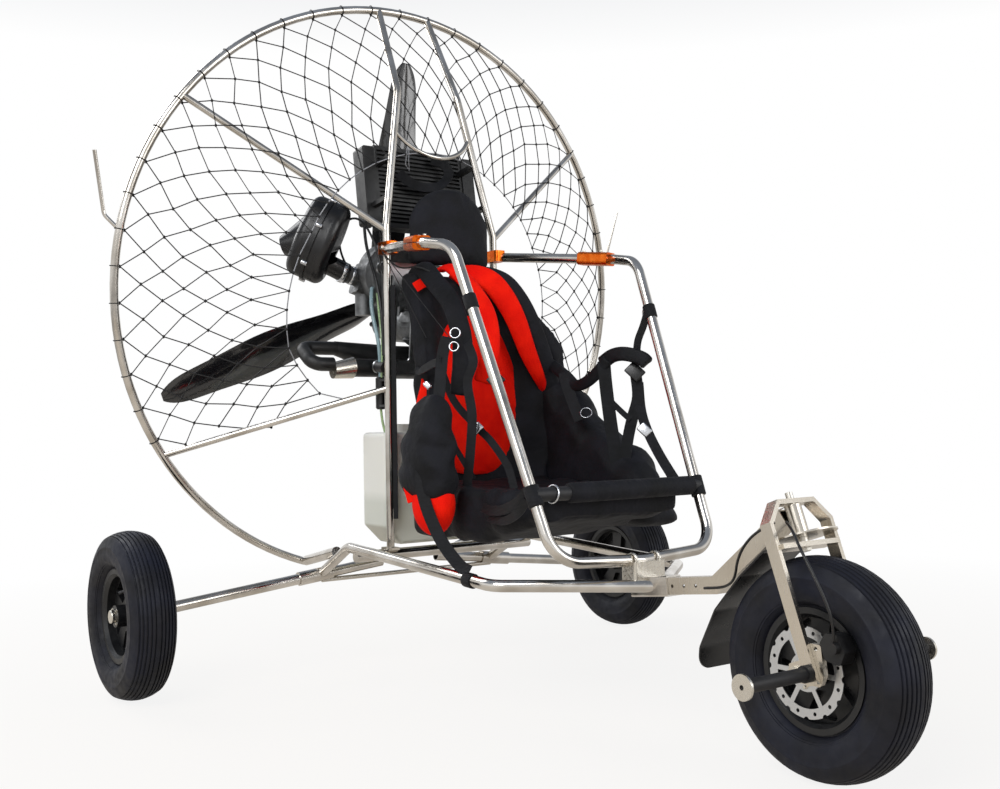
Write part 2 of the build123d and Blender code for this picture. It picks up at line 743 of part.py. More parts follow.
# Nose beam: square tube in the socket, a knee, and gussets at the head tube
knee = at(NOSE_KNEE[0], 0, NOSE_KNEE[1])
rise = radians(NOSE_RISE)
beam_start = SOCKET_TO - SOCKET_OVERLAP
with BuildPart() as nose_beam:
    with BuildLine() as nose_line:
        Polyline(
            at(beam_start, 0, nose_z(beam_start)),
            knee,
            (knee[0] + NOSE_RUN * cos(rise), 0, knee[2] + NOSE_RUN * sin(rise)),
        )
    with BuildSketch(Plane(origin=nose_line.line @ 0, x_dir=(0, 1, 0), z_dir=nose_line.line % 0)):
        Rectangle(NOSE_SIZE, NOSE_SIZE)
        Rectangle(NOSE_SIZE - 2 * NOSE_WALL, NOSE_SIZE - 2 * NOSE_WALL, mode=Mode.SUBTRACT)
    sweep(path=nose_line.line, transition=Transition.RIGHT)
    beam_up = Vector(-sin(rise), 0, cos(rise)) * (NOSE_SIZE / 2)
    beam_along = Vector(cos(rise), 0, sin(rise))
    foot = Vector(knee) + beam_along * GUSSET_FOOT + beam_up * GUSSET_BITE
    neck = Vector(knee) + beam_along * NOSE_RUN + beam_up * GUSSET_BITE
    top = HEAD.origin + HEAD_UP * GUSSET_TOP
    for side_face in (-NOSE_SIZE / 2, NOSE_SIZE / 2 - GUSSET_THICK):
        with BuildSketch(Plane.XZ.offset(side_face)):
            with BuildLine():
                Polyline((foot.X, foot.Z), (top.X - HEAD_TUBE, top.Z), (top.X, top.Z), (neck.X, neck.Z), close=True)
            make_face()
        extrude(amount=GUSSET_THICK)
    split(bisect_by=HEAD, keep=Keep.BOTTOM)
    add(rod(up_head(HEAD_FROM - NOSE_SIZE), HEAD_TUBE + CROWN_DEPTH, NOSE_SIZE), mode=Mode.SUBTRACT)
    add(rod(up_head(HEAD_TO), HEAD_TUBE + CROWN_DEPTH, NOSE_SIZE), mode=Mode.SUBTRACT)
    add(rod(up_head(HEAD_FROM), HEAD_TUBE, HEAD_TO - HEAD_FROM))
    add(rod(up_head(HEAD_FROM - 1), STEER_RADIUS + RUN, HEAD_TO - HEAD_FROM + 2), mode=Mode.SUBTRACT)
    for station in PIN_HOLES:
        with Locations(Plane(origin=at(station, 0, nose_z(station)), z_dir=(0, 1, 0))):
            Cylinder(PIN_HOLE, 2 * NOSE_SIZE, mode=Mode.SUBTRACT)
nose_beam.part.label = "nose_beam"
export_step(nose_beam.part, "parts/nose_beam.step")

# Fork: a flat bar folded into an arch, with a crown bar between its legs
leg_inner = LEG_OUTER - LEG_THICK
fold = LEG_THICK * 0.4
with BuildPart() as fork:
    with BuildSketch(HEAD):
        with BuildLine():
            Polyline(
                (-LEG_OUTER, LEG_FOOT),
                (-LEG_OUTER, LEG_TOP),
                (-ARCH_HALF, ARCH_TOP),
                (ARCH_HALF, ARCH_TOP),
                (LEG_OUTER, LEG_TOP),
                (LEG_OUTER, LEG_FOOT),
                (leg_inner, LEG_FOOT),
                (leg_inner, LEG_TOP - fold),
                (ARCH_HALF - fold, ARCH_TOP - LEG_THICK),
                (-ARCH_HALF + fold, ARCH_TOP - LEG_THICK),
                (-leg_inner, LEG_TOP - fold),
                (-leg_inner, LEG_FOOT),
                close=True,
            )
        make_face()
    extrude(amount=LEG_DEPTH / 2, both=True)
    with BuildSketch(up_head(CROWN_FROM)):
        Rectangle(2 * leg_inner, CROWN_DEPTH)
    extrude(amount=CROWN_THICK)
    add(rod(up_head(CROWN_FROM - 1), STEER_RADIUS + SEAT, ARCH_TOP - CROWN_FROM + 2), mode=Mode.SUBTRACT)
fork.part.label = "fork"
export_step(fork.part, "parts/fork.step")

crown_top = CROWN_FROM + CROWN_THICK
plate_foot = HEAD_FROM - 2 * DISC_PLATE_THICK
with BuildPart() as head_spindle:
    add(rod(up_head(CROWN_FROM - SEAT), STEER_RADIUS, ARCH_TOP + SPINDLE_STUB - CROWN_FROM))
    with BuildSketch(up_head(CROWN_FROM - SEAT)):
        RegularPolygon(SPINDLE_NUT, 6)
    extrude(amount=-NUT_HEIGHT)
    add(rod(up_head(crown_top + SEAT), SPINDLE_NUT, plate_foot - crown_top - 2 * SEAT))
head_spindle.part.label = "head_spindle"
export_step(head_spindle.part, "parts/head_spindle.step")

with BuildPart() as crown_disc:
    add(rod(up_head(plate_foot), DISC_PLATE, DISC_PLATE_THICK))
    add(rod(up_head(plate_foot + DISC_PLATE_THICK), BEARING, DISC_PLATE_THICK - RUN))
    add(rod(up_head(plate_foot - 1), STEER_RADIUS + SEAT, 3 * DISC_PLATE_THICK), mode=Mode.SUBTRACT)
crown_disc.part.label = "crown_disc"
export_step(crown_disc.part, "parts/crown_disc.step")

# Mudguard: a strip bent round the back of the wheel, bolted on the crown bar
guard_rise = crown_top + SEAT + GUARD_THICK / 2
# Each point is its distance behind the head axis and its height along it
GUARD_ROUTE = ((8, guard_rise), (48, guard_rise), (120, 207), (205, 163), (270, 105), (289, 66))
GUARD_CURVE = 30
with BuildPart() as mudguard:
    with BuildLine() as guard_line:
        points = [HEAD.from_local_coords((0, up, -back)) for back, up in GUARD_ROUTE]
        FilletPolyline(*points, radius=GUARD_CURVE)
    guard_start = Plane(origin=guard_line.line @ 0, x_dir=(0, 1, 0), z_dir=guard_line.line % 0)
    with BuildSketch(guard_start):
        Rectangle(GUARD_WIDTH, GUARD_THICK)
    sweep(path=guard_line.line)
    tail_edges = mudguard.faces().sort_by(Axis.Z)[0].edges().sort_by(SortBy.LENGTH)[:2]
    fillet(tail_edges, GUARD_WIDTH / 4)
    add(rod(up_head(CROWN_FROM), SPINDLE_NUT + 2, NOSE_SIZE), mode=Mode.SUBTRACT)
mudguard.part.label = "mudguard"
export_step(mudguard.part, "parts/mudguard.step")

# Foot pegs on the legs' feet, each with a plate at its end
peg_root = HEAD.from_local_coords((LEG_OUTER + SEAT, PEG_RISE, 0))
peg_plane = Plane(origin=peg_root, z_dir=(0, 1, 0))
with BuildPart() as foot_pegs:
    add(rod(peg_plane, PEG_TUBE, PEG_LENGTH))
    add(rod(peg_plane, PEG_SOCKET, PEG_SOCKET_LENGTH))
    mirror(about=Plane.XZ)
foot_pegs.part.label = "foot_pegs"
export_step(foot_pegs.part, "parts/foot_pegs.step")

with BuildPart() as peg_plates:
    add(rod(peg_plane.offset(PEG_LENGTH + SEAT), PEG_PLATE, PEG_PLATE_THICK))
    add(rod(peg_plane.offset(PEG_LENGTH), PEG_PLATE / 5, 2 * PEG_PLATE_THICK), mode=Mode.SUBTRACT)
    mirror(about=Plane.XZ)
peg_plates.part.label = "peg_plates"
export_step(peg_plates.part, "parts/peg_plates.step")

# Axle plates: machined blocks inside the legs that hold the axle behind them
axle_line = Plane(origin=(NOSE, 0, TYRE_RADIUS), x_dir=(1, 0, 0), z_dir=(0, -1, 0))
with BuildPart() as axle_plates:
    with BuildSketch(axle_line.offset(leg_inner - AXLE_PLATE_THICK)):
        with BuildLine():
            Polyline(*AXLE_PLATE_OUTLINE, close=True)
        make_face()
    extrude(amount=AXLE_PLATE_THICK - SEAT)
    fillet(axle_plates.edges().filter_by(Axis.Y), AXLE_PLATE_ROUND)
    with BuildSketch(axle_line):
        with Locations(TOW_HOLE_AT):
            Circle(TOW_HOLE)
        Circle(AXLE_RADIUS)
    extrude(amount=TYRE_WIDTH, mode=Mode.SUBTRACT)
    mirror(about=Plane.XZ)
axle_plates.part.label = "axle_plates"
export_step(axle_plates.part, "parts/axle_plates.step")

with BuildPart() as front_axle:
    axle_half = leg_inner - SEAT
    with Locations(axle_line):
        Cylinder(AXLE_RADIUS, 2 * axle_half)
    for sign in (-1, 1):
        face = Plane(origin=(NOSE, sign * axle_half, TYRE_RADIUS), z_dir=(0, sign, 0))
        with BuildSketch(face):
            RegularPolygon(AXLE_NUT, 6)
        extrude(amount=AXLE_NUT_LENGTH)
front_axle.part.label = "front_axle"
export_step(front_axle.part, "parts/front_axle.step")

# Brake disc with a waved rim, on a spider and carrier against the hub
disc_face = Plane(origin=(NOSE, BRAKE_Y, TYRE_RADIUS), x_dir=(1, 0, 0), z_dir=(0, -1, 0))
with BuildPart() as brake_disc:
    with BuildSketch(disc_face):
        Circle(BRAKE_RADIUS)
        with PolarLocations(BRAKE_RADIUS + 2, BRAKE_WAVES):
            Circle(6, mode=Mode.SUBTRACT)
        with PolarLocations(BRAKE_RADIUS - BRAKE_BAND / 2, BRAKE_WAVES, start_angle=15):
            Circle(3.5, mode=Mode.SUBTRACT)
        Circle(BRAKE_RADIUS - BRAKE_BAND, mode=Mode.SUBTRACT)
        with PolarLocations((BRAKE_RADIUS - BRAKE_BAND + CARRIER_RADIUS) / 2, BRAKE_ARMS):
            Rectangle(BRAKE_RADIUS - BRAKE_BAND - CARRIER_RADIUS + 8, 9)
        Circle(CARRIER_RADIUS)
    extrude(amount=BRAKE_THICK)
    add(rod(disc_face, CARRIER_RADIUS - 4, BRAKE_Y + HUB_HALF + SEAT))
    with Locations(disc_face):
        Cylinder(AXLE_RADIUS + RUN, 4 * HUB_HALF, mode=Mode.SUBTRACT)
brake_disc.part.label = "brake_disc"
export_step(brake_disc.part, "parts/brake_disc.step")

# Caliper over the disc's front edge, on the right axle plate
with BuildPart() as caliper:
    with BuildSketch(axle_line.offset(-CALIPER_FROM)):
        with BuildLine():
            Polyline(*CALIPER_OUTLINE, close=True)
        make_face()
    extrude(amount=leg_inner + CALIPER_FROM)
    fillet(caliper.edges().filter_by(Axis.Y), CALIPER_ROUND)
    slot = disc_face.offset(-CALIPER_GAP)
    add(rod(slot, BRAKE_RADIUS + CALIPER_GAP, 2 * CALIPER_GAP + BRAKE_THICK), mode=Mode.SUBTRACT)
    knob = Plane(origin=(NOSE + KNOB_AT[0], -leg_inner + KNOB_DEPTH, TYRE_RADIUS + KNOB_AT[1]), z_dir=(0, -1, 0))
    add(rod(knob, KNOB_RADIUS, 2 * KNOB_DEPTH + KNOB_REACH))
    add(axle_plates.part, mode=Mode.SUBTRACT)
caliper.part.label = "caliper"
export_step(caliper.part, "parts/caliper.step")

# Power plane: x along the propeller shaft to the nose, z up the leaning cage
POWER = Plane(
    origin=at(HUB_X, 0, HUB_Z),
    x_dir=(cos(LEAN), 0, -sin(LEAN)),
    z_dir=(sin(LEAN), 0, cos(LEAN)),
)


def across(distance):
    """Plane across the shaft, with y up, at a distance ahead of the blades."""
    origin = POWER.from_local_coords((distance, 0, 0))
    return Plane(origin=origin, x_dir=(0, 1, 0), z_dir=POWER.x_dir)


# Blade sections: distance out, chord, thickness, pitch in degrees
BLADE = (
    (40, 46, 22, 38),
    (130, 88, 17, 28),
    (300, 112, 13, 18),
    (480, 104, 10, 13),
    (610, 80, 7, 10),
    (665, 54, 5, 9),
    (BLADE_REACH, 22, 3, 8),
)
with BuildPart() as propeller:
    add(rod(across(-BOSS_HALF), BOSS_RADIUS, 2 * BOSS_HALF))
    for angle in BLADE_ANGLES:
        turn = radians(angle)
        outwards = Vector(0, cos(turn), sin(turn))
        spin = Vector(0, -sin(turn), cos(turn))
        sections = []
        for distance, chord, thick, pitch in BLADE:
            tilt = radians(pitch)
            chord_dir = spin * cos(tilt) - Vector(1, 0, 0) * sin(tilt)
            station = Plane(
                origin=POWER.from_local_coords(outwards * distance),
                x_dir=POWER.from_local_coords(chord_dir) - POWER.origin,
                z_dir=POWER.from_local_coords(outwards) - POWER.origin,
            )
            with BuildSketch(station) as section:
                with BuildLine():
                    ThreePointArc((-chord / 2, 0), (0, thick * 0.7), (chord / 2, 0))
                    ThreePointArc((chord / 2, 0), (0, -thick * 0.3), (-chord / 2, 0))
                make_face()
            sections.append(section.sketch.faces()[0])
        loft(sections)
propeller.part.label = "propeller"
export_step(propeller.part, "parts/propeller.step")

with BuildPart() as propeller_hub:
    add(rod(across(BOSS_HALF + SEAT), FLANGE_RADIUS, FLANGE_THICK))
    add(rod(across(BOSS_HALF + SEAT), SHAFT_RADIUS, SHAFT_LENGTH))
    add(rod(across(-BOSS_HALF - SEAT - FLANGE_THICK), FLANGE_RADIUS, FLANGE_THICK))
propeller_hub.part.label = "propeller_hub"
export_step(propeller_hub.part, "parts/propeller_hub.step")

# Gearbox between the crankshaft and the propeller shaft above it
with BuildPart() as gearbox:
    with BuildSketch(across(GEARBOX_FROM)):
        with BuildLine():
            CenterArc((0, 0), GEARBOX_TOP, 0, 180)
            Line((-GEARBOX_TOP, 0), (-GEARBOX_FOOT, -CRANK_DROP))
            CenterArc((0, -CRANK_DROP), GEARBOX_FOOT, 180, 180)
            Line((GEARBOX_FOOT, -CRANK_DROP), (GEARBOX_TOP, 0))
        make_face()
        for y, z in ((-GEARBOX_TOP, 12), (GEARBOX_TOP, 12), (-GEARBOX_FOOT, -60), (GEARBOX_FOOT, -60)):
            with Locations((y, z)):
                Circle(7)
        Circle(SHAFT_RADIUS + RUN, mode=Mode.SUBTRACT)
    extrude(amount=GEARBOX_DEPTH)
    fillet(gearbox.faces().sort_by(Axis.X)[0].outer_wire().edges(), 2.5)
gearbox.part.label = "gearbox"
export_step(gearbox.part, "parts/gearbox.step")

# Engine block: crankcase, upright barrel, side cover and starter drum
crank_from = GEARBOX_FROM + GEARBOX_DEPTH
starter_from = crank_from + CRANK_DEPTH
barrel_middle = BARREL_HEIGHT / 2 - CRANK_DROP
with BuildPart() as engine_block:
    with BuildSketch(across(crank_from)):
        with Locations((0, -CRANK_DROP)):
            Circle(CRANK_RADIUS)
    extrude(amount=CRANK_DEPTH)
    with BuildSketch(across(crank_from + 12)):
        with Locations((0, barrel_middle)):
            RectangleRounded(BARREL_WIDTH, BARREL_HEIGHT, 10)
    extrude(amount=BARREL_DEPTH)
    with BuildSketch(across(crank_from + BARREL_DEPTH + 4)):
        with Locations(COVER_AT):
            Circle(COVER_RADIUS)
    extrude(amount=COVER_DEPTH)
    with BuildSketch(across(crank_from + BARREL_DEPTH + 4)):
        with Locations(COVER_AT):
            Circle(COVER_RADIUS - COVER_STEP)
    extrude(amount=COVER_DEPTH + COVER_STEP)
    with BuildSketch(across(starter_from)):
        with Locations((0, -CRANK_DROP)):
            Circle(STARTER_RADIUS)
            with PolarLocations(STARTER_RADIUS, STARTER_SLOTS):
                Rectangle(18, 12, mode=Mode.SUBTRACT)
    extrude(amount=PLATE_AT - SEAT - starter_from)
engine_block.part.label = "engine_block"
export_step(engine_block.part, "parts/engine_block.step")

head_foot = BARREL_HEIGHT - CRANK_DROP + SEAT
with BuildPart() as cylinder_head:
    with BuildSketch(across(crank_from + 6)):
        with Locations((0, head_foot + HEAD_HEIGHT / 2)):
            RectangleRounded(HEAD_WIDTH, HEAD_HEIGHT, 8)
    extrude(amount=BARREL_DEPTH - 12)
    head_plane = Plane(
        origin=POWER.from_local_coords((crank_from + BARREL_DEPTH / 2, 0, head_foot + HEAD_HEIGHT)),
        x_dir=(0, 1, 0),
        z_dir=POWER.z_dir,
    )
    with BuildSketch(head_plane.offset(-2)):
        with GridLocations(HEAD_WIDTH - 26, BARREL_DEPTH - 34, 2, 2):
            RegularPolygon(8, 6)
        Circle(13)
    extrude(amount=10)
cylinder_head.part.label = "cylinder_head"
export_step(cylinder_head.part, "parts/cylinder_head.step")

# Engine plate with its windows, on rubber mounts at the masts
with BuildPart() as engine_plate:
    with BuildSketch(across(PLATE_AT)):
        with Locations((0, -PLATE_DROP)):
            RectangleRounded(2 * PLATE_HALF, PLATE_HEIGHT, PLATE_ROUND)
        for rise_at in (-PLATE_DROP - MOUNT_RISE, -PLATE_DROP + MOUNT_RISE):
            with Locations((0, rise_at)):
                RectangleRounded(2 * (MAST_Y + RUBBER_RADIUS), PLATE_EAR, PLATE_ROUND)
        with Locations(PLATE_UPPER_AT):
            RectangleRounded(*PLATE_UPPER_WINDOW, WINDOW_ROUND, mode=Mode.SUBTRACT)
        for sign in (-1, 1):
            with Locations((sign * PLATE_SIDE_AT[0], PLATE_SIDE_AT[1])):
                RectangleRounded(*PLATE_SIDE_WINDOW, WINDOW_ROUND, mode=Mode.SUBTRACT)
    extrude(amount=PLATE_THICK)
engine_plate.part.label = "engine_plate"
export_step(engine_plate.part, "parts/engine_plate.step")

with BuildPart() as engine_mounts:
    for rise_at in (-PLATE_DROP - MOUNT_RISE, -PLATE_DROP + MOUNT_RISE):
        for y in (-MAST_Y, MAST_Y):
            with BuildSketch(across(PLATE_AT + PLATE_THICK + SEAT)):
                with Locations((y, rise_at)):
                    Circle(RUBBER_RADIUS)
            extrude(amount=MAST_X - HUB_X - PLATE_AT)
    split(bisect_by=Plane(origin=at(MAST_X, 0, 0), z_dir=(1, 0, 0)), keep=Keep.BOTTOM)
    add(mast_room.part, mode=Mode.SUBTRACT)
engine_mounts.part.label = "engine_mounts"
export_step(engine_mounts.part, "parts/engine_mounts.step")

# Carburettor at the barrel's right, below the side cover
with BuildPart() as carburettor:
    throat = Plane(origin=at(*THROAT_ROOT), x_dir=(1, 0, 0), z_dir=THROAT_DIR)
    add(rod(throat, THROAT_RADIUS, THROAT_LENGTH))
    with BuildSketch(throat.offset(CARB_FROM)):
        RectangleRounded(*CARB_BODY, CARB_ROUND)
    extrude(amount=CARB_DEPTH)
    add(rod(Plane(origin=at(*CARB_CAP), x_dir=(0, 1, 0), z_dir=(1, 0, 0)), CAP_SIZE[0], CAP_SIZE[1]))
    add(rod(Plane(origin=at(*CARB_BOWL), z_dir=(0, 0, -1)), BOWL_SIZE[0], BOWL_SIZE[1]))
    add(engine_block.part, mode=Mode.SUBTRACT)
carburettor_body = carburettor.solids().sort_by(SortBy.VOLUME)[-1]
with BuildPart() as carburettor:
    add(carburettor_body)
carburettor.part.label = "carburettor"
export_step(carburettor.part, "parts/carburettor.step")

# Air box: a leaning oval shell with a neck to the carburettor and two snouts
AIR_NORMAL = Vector(0.53, 0.74, -0.416).normalized()
AIR_UP = Vector(0.242, 0.339, 0.909)
air_centre = Vector(at(*AIR_AT))
air_plane = Plane(origin=air_centre - AIR_NORMAL * AIR_DEPTH / 2, x_dir=AIR_UP, z_dir=AIR_NORMAL)
duct_end = Vector(at(*DUCT_END))
duct_root = air_centre + AIR_UP * DUCT_RISE
duct_dir = (duct_end - duct_root).normalized()
duct_up = AIR_UP - duct_dir * AIR_UP.dot(duct_dir)
with BuildPart() as air_box:
    with BuildSketch(air_plane):
        Ellipse(*AIR_SIZE)
    extrude(amount=AIR_DEPTH)
    fillet(air_box.edges().filter_by(GeomType.ELLIPSE), AIR_ROUND)
    with BuildSketch(air_plane.offset((AIR_DEPTH - AIR_SEAM) / 2)):
        Ellipse(AIR_SIZE[0] + AIR_LIP, AIR_SIZE[1] + AIR_LIP)
    extrude(amount=AIR_SEAM)
    throat_end = Vector(throat.origin) + Vector(throat.z_dir) * (THROAT_LENGTH + SEAT)
    add(tube([tuple(air_centre - AIR_UP * NECK_DROP), tuple(throat_end + throat.z_dir * NECK_INSET)], NECK_RADIUS))
    with BuildSketch(Plane(origin=duct_root, x_dir=duct_up, z_dir=duct_dir)) as duct_wide:
        Ellipse(*DUCT_ROOT_SIZE)
    with BuildSketch(Plane(origin=duct_end, x_dir=duct_up, z_dir=duct_dir)) as duct_narrow:
        Ellipse(*DUCT_END_SIZE)
    loft([duct_wide.sketch.faces()[0], duct_narrow.sketch.faces()[0]])
    with BuildSketch(Plane(origin=duct_end, x_dir=duct_up, z_dir=duct_dir)):
        with GridLocations(1, NOSTRIL_PITCH, 1, 2):
            Circle(NOSTRIL_RADIUS)
    extrude(amount=-NOSTRIL_DEPTH, mode=Mode.SUBTRACT)
    trim = Plane(origin=throat_end, z_dir=throat.z_dir)
    split(bisect_by=trim, keep=Keep.TOP)
    add(engine_block.part, mode=Mode.SUBTRACT)
air_box.part.label = "air_box"
export_step(air_box.part, "parts/air_box.step")

# Exhaust chamber with its cone, and the header from the barrel's left
chamber = at(CHAMBER_X, 0, CHAMBER_Z)
with BuildPart() as exhaust_chamber:
    add(rod(Plane(origin=at(CHAMBER_X, -CHAMBER_HALF, CHAMBER_Z), z_dir=(0, 1, 0)), CHAMBER_RADIUS, 2 * CHAMBER_HALF))
    cone_foot = Plane(origin=at(CHAMBER_X, -CHAMBER_HALF, CHAMBER_Z), x_dir=(1, 0, 0), z_dir=(0, -1, 0))
    cone_tip = Plane(origin=at(CHAMBER_X, *CONE_END), x_dir=(1, 0, 0), z_dir=(0, -1, 0))
    with BuildSketch(cone_foot) as wide:
        Circle(CHAMBER_RADIUS)
    with BuildSketch(cone_tip) as narrow:
        Circle(PIPE_RADIUS + 1)
    loft([wide.sketch.faces()[0], narrow.sketch.faces()[0]])
    left_tip = Plane(origin=at(CHAMBER_X, 190, CHAMBER_Z + 20), x_dir=(1, 0, 0), z_dir=(0, -1, 0))
    left_foot = Plane(origin=at(CHAMBER_X, CHAMBER_HALF, CHAMBER_Z), x_dir=(1, 0, 0), z_dir=(0, -1, 0))
    with BuildSketch(left_foot) as wide:
        Circle(CHAMBER_RADIUS)
    with BuildSketch(left_tip) as narrow:
        Circle(PIPE_RADIUS + 1)
    loft([wide.sketch.faces()[0], narrow.sketch.faces()[0]])
exhaust_chamber.part.label = "exhaust_chamber"
export_step(exhaust_chamber.part, "parts/exhaust_chamber.step")

with BuildPart() as exhaust:
    return_bend = [
        at(CHAMBER_X, CONE_END[0] - SEAT, CONE_END[1]),
        at(CHAMBER_X, RETURN_Y, CONE_END[1]),
        at(SILENCER_X, RETURN_Y, SILENCER_Z + 8),
        at(SILENCER_X, SILENCER_FROM - TIP_LENGTH - SEAT, SILENCER_Z + 8),
    ]
    add(tube(return_bend, PIPE_RADIUS, bend=26))
    header = [
        at(CHAMBER_X, 190 + SEAT, CHAMBER_Z + 20),
        at(CHAMBER_X, 236, CHAMBER_Z + 20),
        at(CHAMBER_X, 236, 1010),
        at(CHAMBER_X + 8, 44, 1010),
    ]
    add(tube(header, PIPE_RADIUS, bend=38))
    add(engine_block.part, mode=Mode.SUBTRACT)
exhaust.part.label = "exhaust"
export_step(exhaust.part, "parts/exhaust.step")

# Silencer, with a bright end and pads that hang the exhaust on the plate
silencer_end = Plane(origin=at(SILENCER_X, SILENCER_FROM, SILENCER_Z), x_dir=(1, 0, 0), z_dir=(0, 1, 0))
with BuildPart() as silencer:
    add(rod(silencer_end, SILENCER_RADIUS, SILENCER_LENGTH))
    fillet(silencer.edges().group_by(Axis.Y)[-1], 8)
silencer.part.label = "silencer"
export_step(silencer.part, "parts/silencer.step")

with BuildPart() as silencer_end_cap:
    with BuildSketch(silencer_end.offset(-SEAT)) as wide:
        Circle(TIP_RADIUS)
    with BuildSketch(silencer_end.offset(-SEAT - TIP_LENGTH)) as narrow:
        with Locations((0, 8)):
            Circle(PIPE_RADIUS + 3)
    loft([wide.sketch.faces()[0], narrow.sketch.faces()[0]])
silencer_end_cap.part.label = "silencer_end_cap"
export_step(silencer_end_cap.part, "parts/silencer_end_cap.step")

# Radiator behind the leaning masts: slatted core, side tanks and lugs
radiator_plane = Plane(
    origin=at(RADIATOR[0], 0, RADIATOR[1]),
    x_dir=(0, 1, 0),
    z_dir=(cos(radians(RADIATOR_TILT)), 0, sin(radians(RADIATOR_TILT))),
)
with BuildPart() as radiator:
    width, depth, height = RADIATOR_SIZE
    with BuildSketch(radiator_plane.offset(-depth / 2)):
        Rectangle(width, height)
    extrude(amount=depth)
    slats = int((height - 2 * RADIATOR_EDGE) / SLAT_PITCH)
    for face, way in ((depth / 2, -1), (-depth / 2, 1)):
        with BuildSketch(radiator_plane.offset(face)):
            with GridLocations(0, SLAT_PITCH, 1, slats):
                Rectangle(width - 2 * RADIATOR_EDGE, SLAT_GAP)
        extrude(amount=way * SLAT_DEPTH, mode=Mode.SUBTRACT)
    tank_w, tank_d, tank_h = RADIATOR_TANK
    with BuildSketch(radiator_plane.offset(-tank_d / 2)):
        for sign in (-1, 1):
            with Locations((sign * (width + tank_w) / 2, 0)):
                RectangleRounded(tank_w, tank_h, RADIATOR_EDGE)
    extrude(amount=tank_d)
    with BuildSketch(radiator_plane):
        for sign in (-1, 1):
            for lift, lug_y in LUGS:
                with Locations((sign * lug_y, lift)):
                    Rectangle(*LUG_SIZE)
    extrude(amount=MAST_X - RADIATOR[0])
    add(mast_room.part, mode=Mode.SUBTRACT)
radiator_body = radiator.solids().sort_by(SortBy.VOLUME)[-1]
with BuildPart() as radiator:
    add(radiator_body)
radiator.part.label = "radiator"
export_step(radiator.part, "parts/radiator.step")

# Fuel tank behind the masts, with a seam round it and a cap on top
tank_back = MAST_X - MAST_TUBE - SEAT - TANK_DEPTH
with BuildPart() as fuel_tank:
    with BuildSketch(Plane(origin=at(tank_back, 0, 0), x_dir=(0, 1, 0), z_dir=(1, 0, 0))):
        with BuildLine():
            Polyline(
                (-TANK_HALF, TANK_TOP),
                (TANK_HALF, TANK_TOP),
                (TANK_HALF, TANK_BOTTOM + TANK_CHAMFER),
                (TANK_HALF - TANK_CHAMFER, TANK_BOTTOM),
                (-TANK_HALF + TANK_CHAMFER, TANK_BOTTOM),
                (-TANK_HALF, TANK_BOTTOM + TANK_CHAMFER),
                close=True,
            )
        make_face()
    extrude(amount=TANK_DEPTH)
    fillet(fuel_tank.edges(), TANK_ROUND)
    with BuildSketch(Plane.XY.offset(TANK_TOP - 1)):
        with Locations((REAR + tank_back + TANK_DEPTH / 2, -TANK_HALF / 2)):
            Circle(CAP_RADIUS)
    extrude(amount=CAP_HEIGHT)
fuel_tank.part.label = "fuel_tank"
export_step(fuel_tank.part, "parts/fuel_tank.step")

# Fuel filter on two clips behind the right mast
with BuildPart() as fuel_filter:
    foot = Plane(origin=at(FILTER_AT[0], -FILTER_AT[1], FILTER_AT[2]))
    add(rod(foot, FILTER_RADIUS, FILTER_LENGTH))
    chamfer(fuel_filter.edges().filter_by(GeomType.CIRCLE), 4)
    for lift in (6, FILTER_LENGTH - 12):
        with BuildSketch(foot.offset(lift)):
            with Locations(((MAST_X - FILTER_AT[0]) / 2, 0)):
                Rectangle(MAST_X - FILTER_AT[0], 2 * MAST_TUBE)
        extrude(amount=6)
    add(mast_room.part, mode=Mode.SUBTRACT)
filter_body = fuel_filter.solids().sort_by(SortBy.VOLUME)[-1]
with BuildPart() as fuel_filter:
    add(filter_body)
fuel_filter.part.label = "fuel_filter"
export_step(fuel_filter.part, "parts/fuel_filter.step")

# Harness: back pad, seat, side bags, head pad and the roll across the loop
back_x = REAR + MAST_X + MAST_TUBE + SEAT
with BuildPart() as back_pad:
    with BuildSketch(Plane.XZ):
        with BuildLine():
            Polyline(
                (back_x, BACK_BOTTOM),
                (back_x, BACK_TOP),
                (back_x + BACK_SLIM, BACK_TOP),
                (back_x + BACK_THICK, BACK_TOP - BACK_SLOPE),
                (back_x + BACK_THICK, BACK_BOTTOM),
                close=True,
            )
        make_face()
    extrude(amount=BACK_HALF, both=True)
    fillet(back_pad.edges().filter_by(Axis.Y), PAD_ROUND)
back_pad.part.label = "back_pad"
export_step(back_pad.part, "parts/back_pad.step")

seat_rear = back_x + BACK_THICK + SEAT
with BuildPart() as seat:
    with BuildSketch(Plane.XZ):
        with BuildLine():
            Polyline(
                (seat_rear, SEAT_BOTTOM),
                (seat_rear, SEAT_TOP - 5),
                (REAR + SEAT_FRONT - 22, SEAT_TOP),
                (REAR + SEAT_FRONT, SEAT_TOP - 25),
                (REAR + SEAT_FRONT - 32, SEAT_TOP - 55),
                (REAR + SEAT_FRONT - 302, SEAT_BOTTOM + 13),
                close=True,
            )
        make_face()
    extrude(amount=HARNESS_HALF, both=True)
seat.part.label = "seat"
export_step(seat.part, "parts/seat.step")

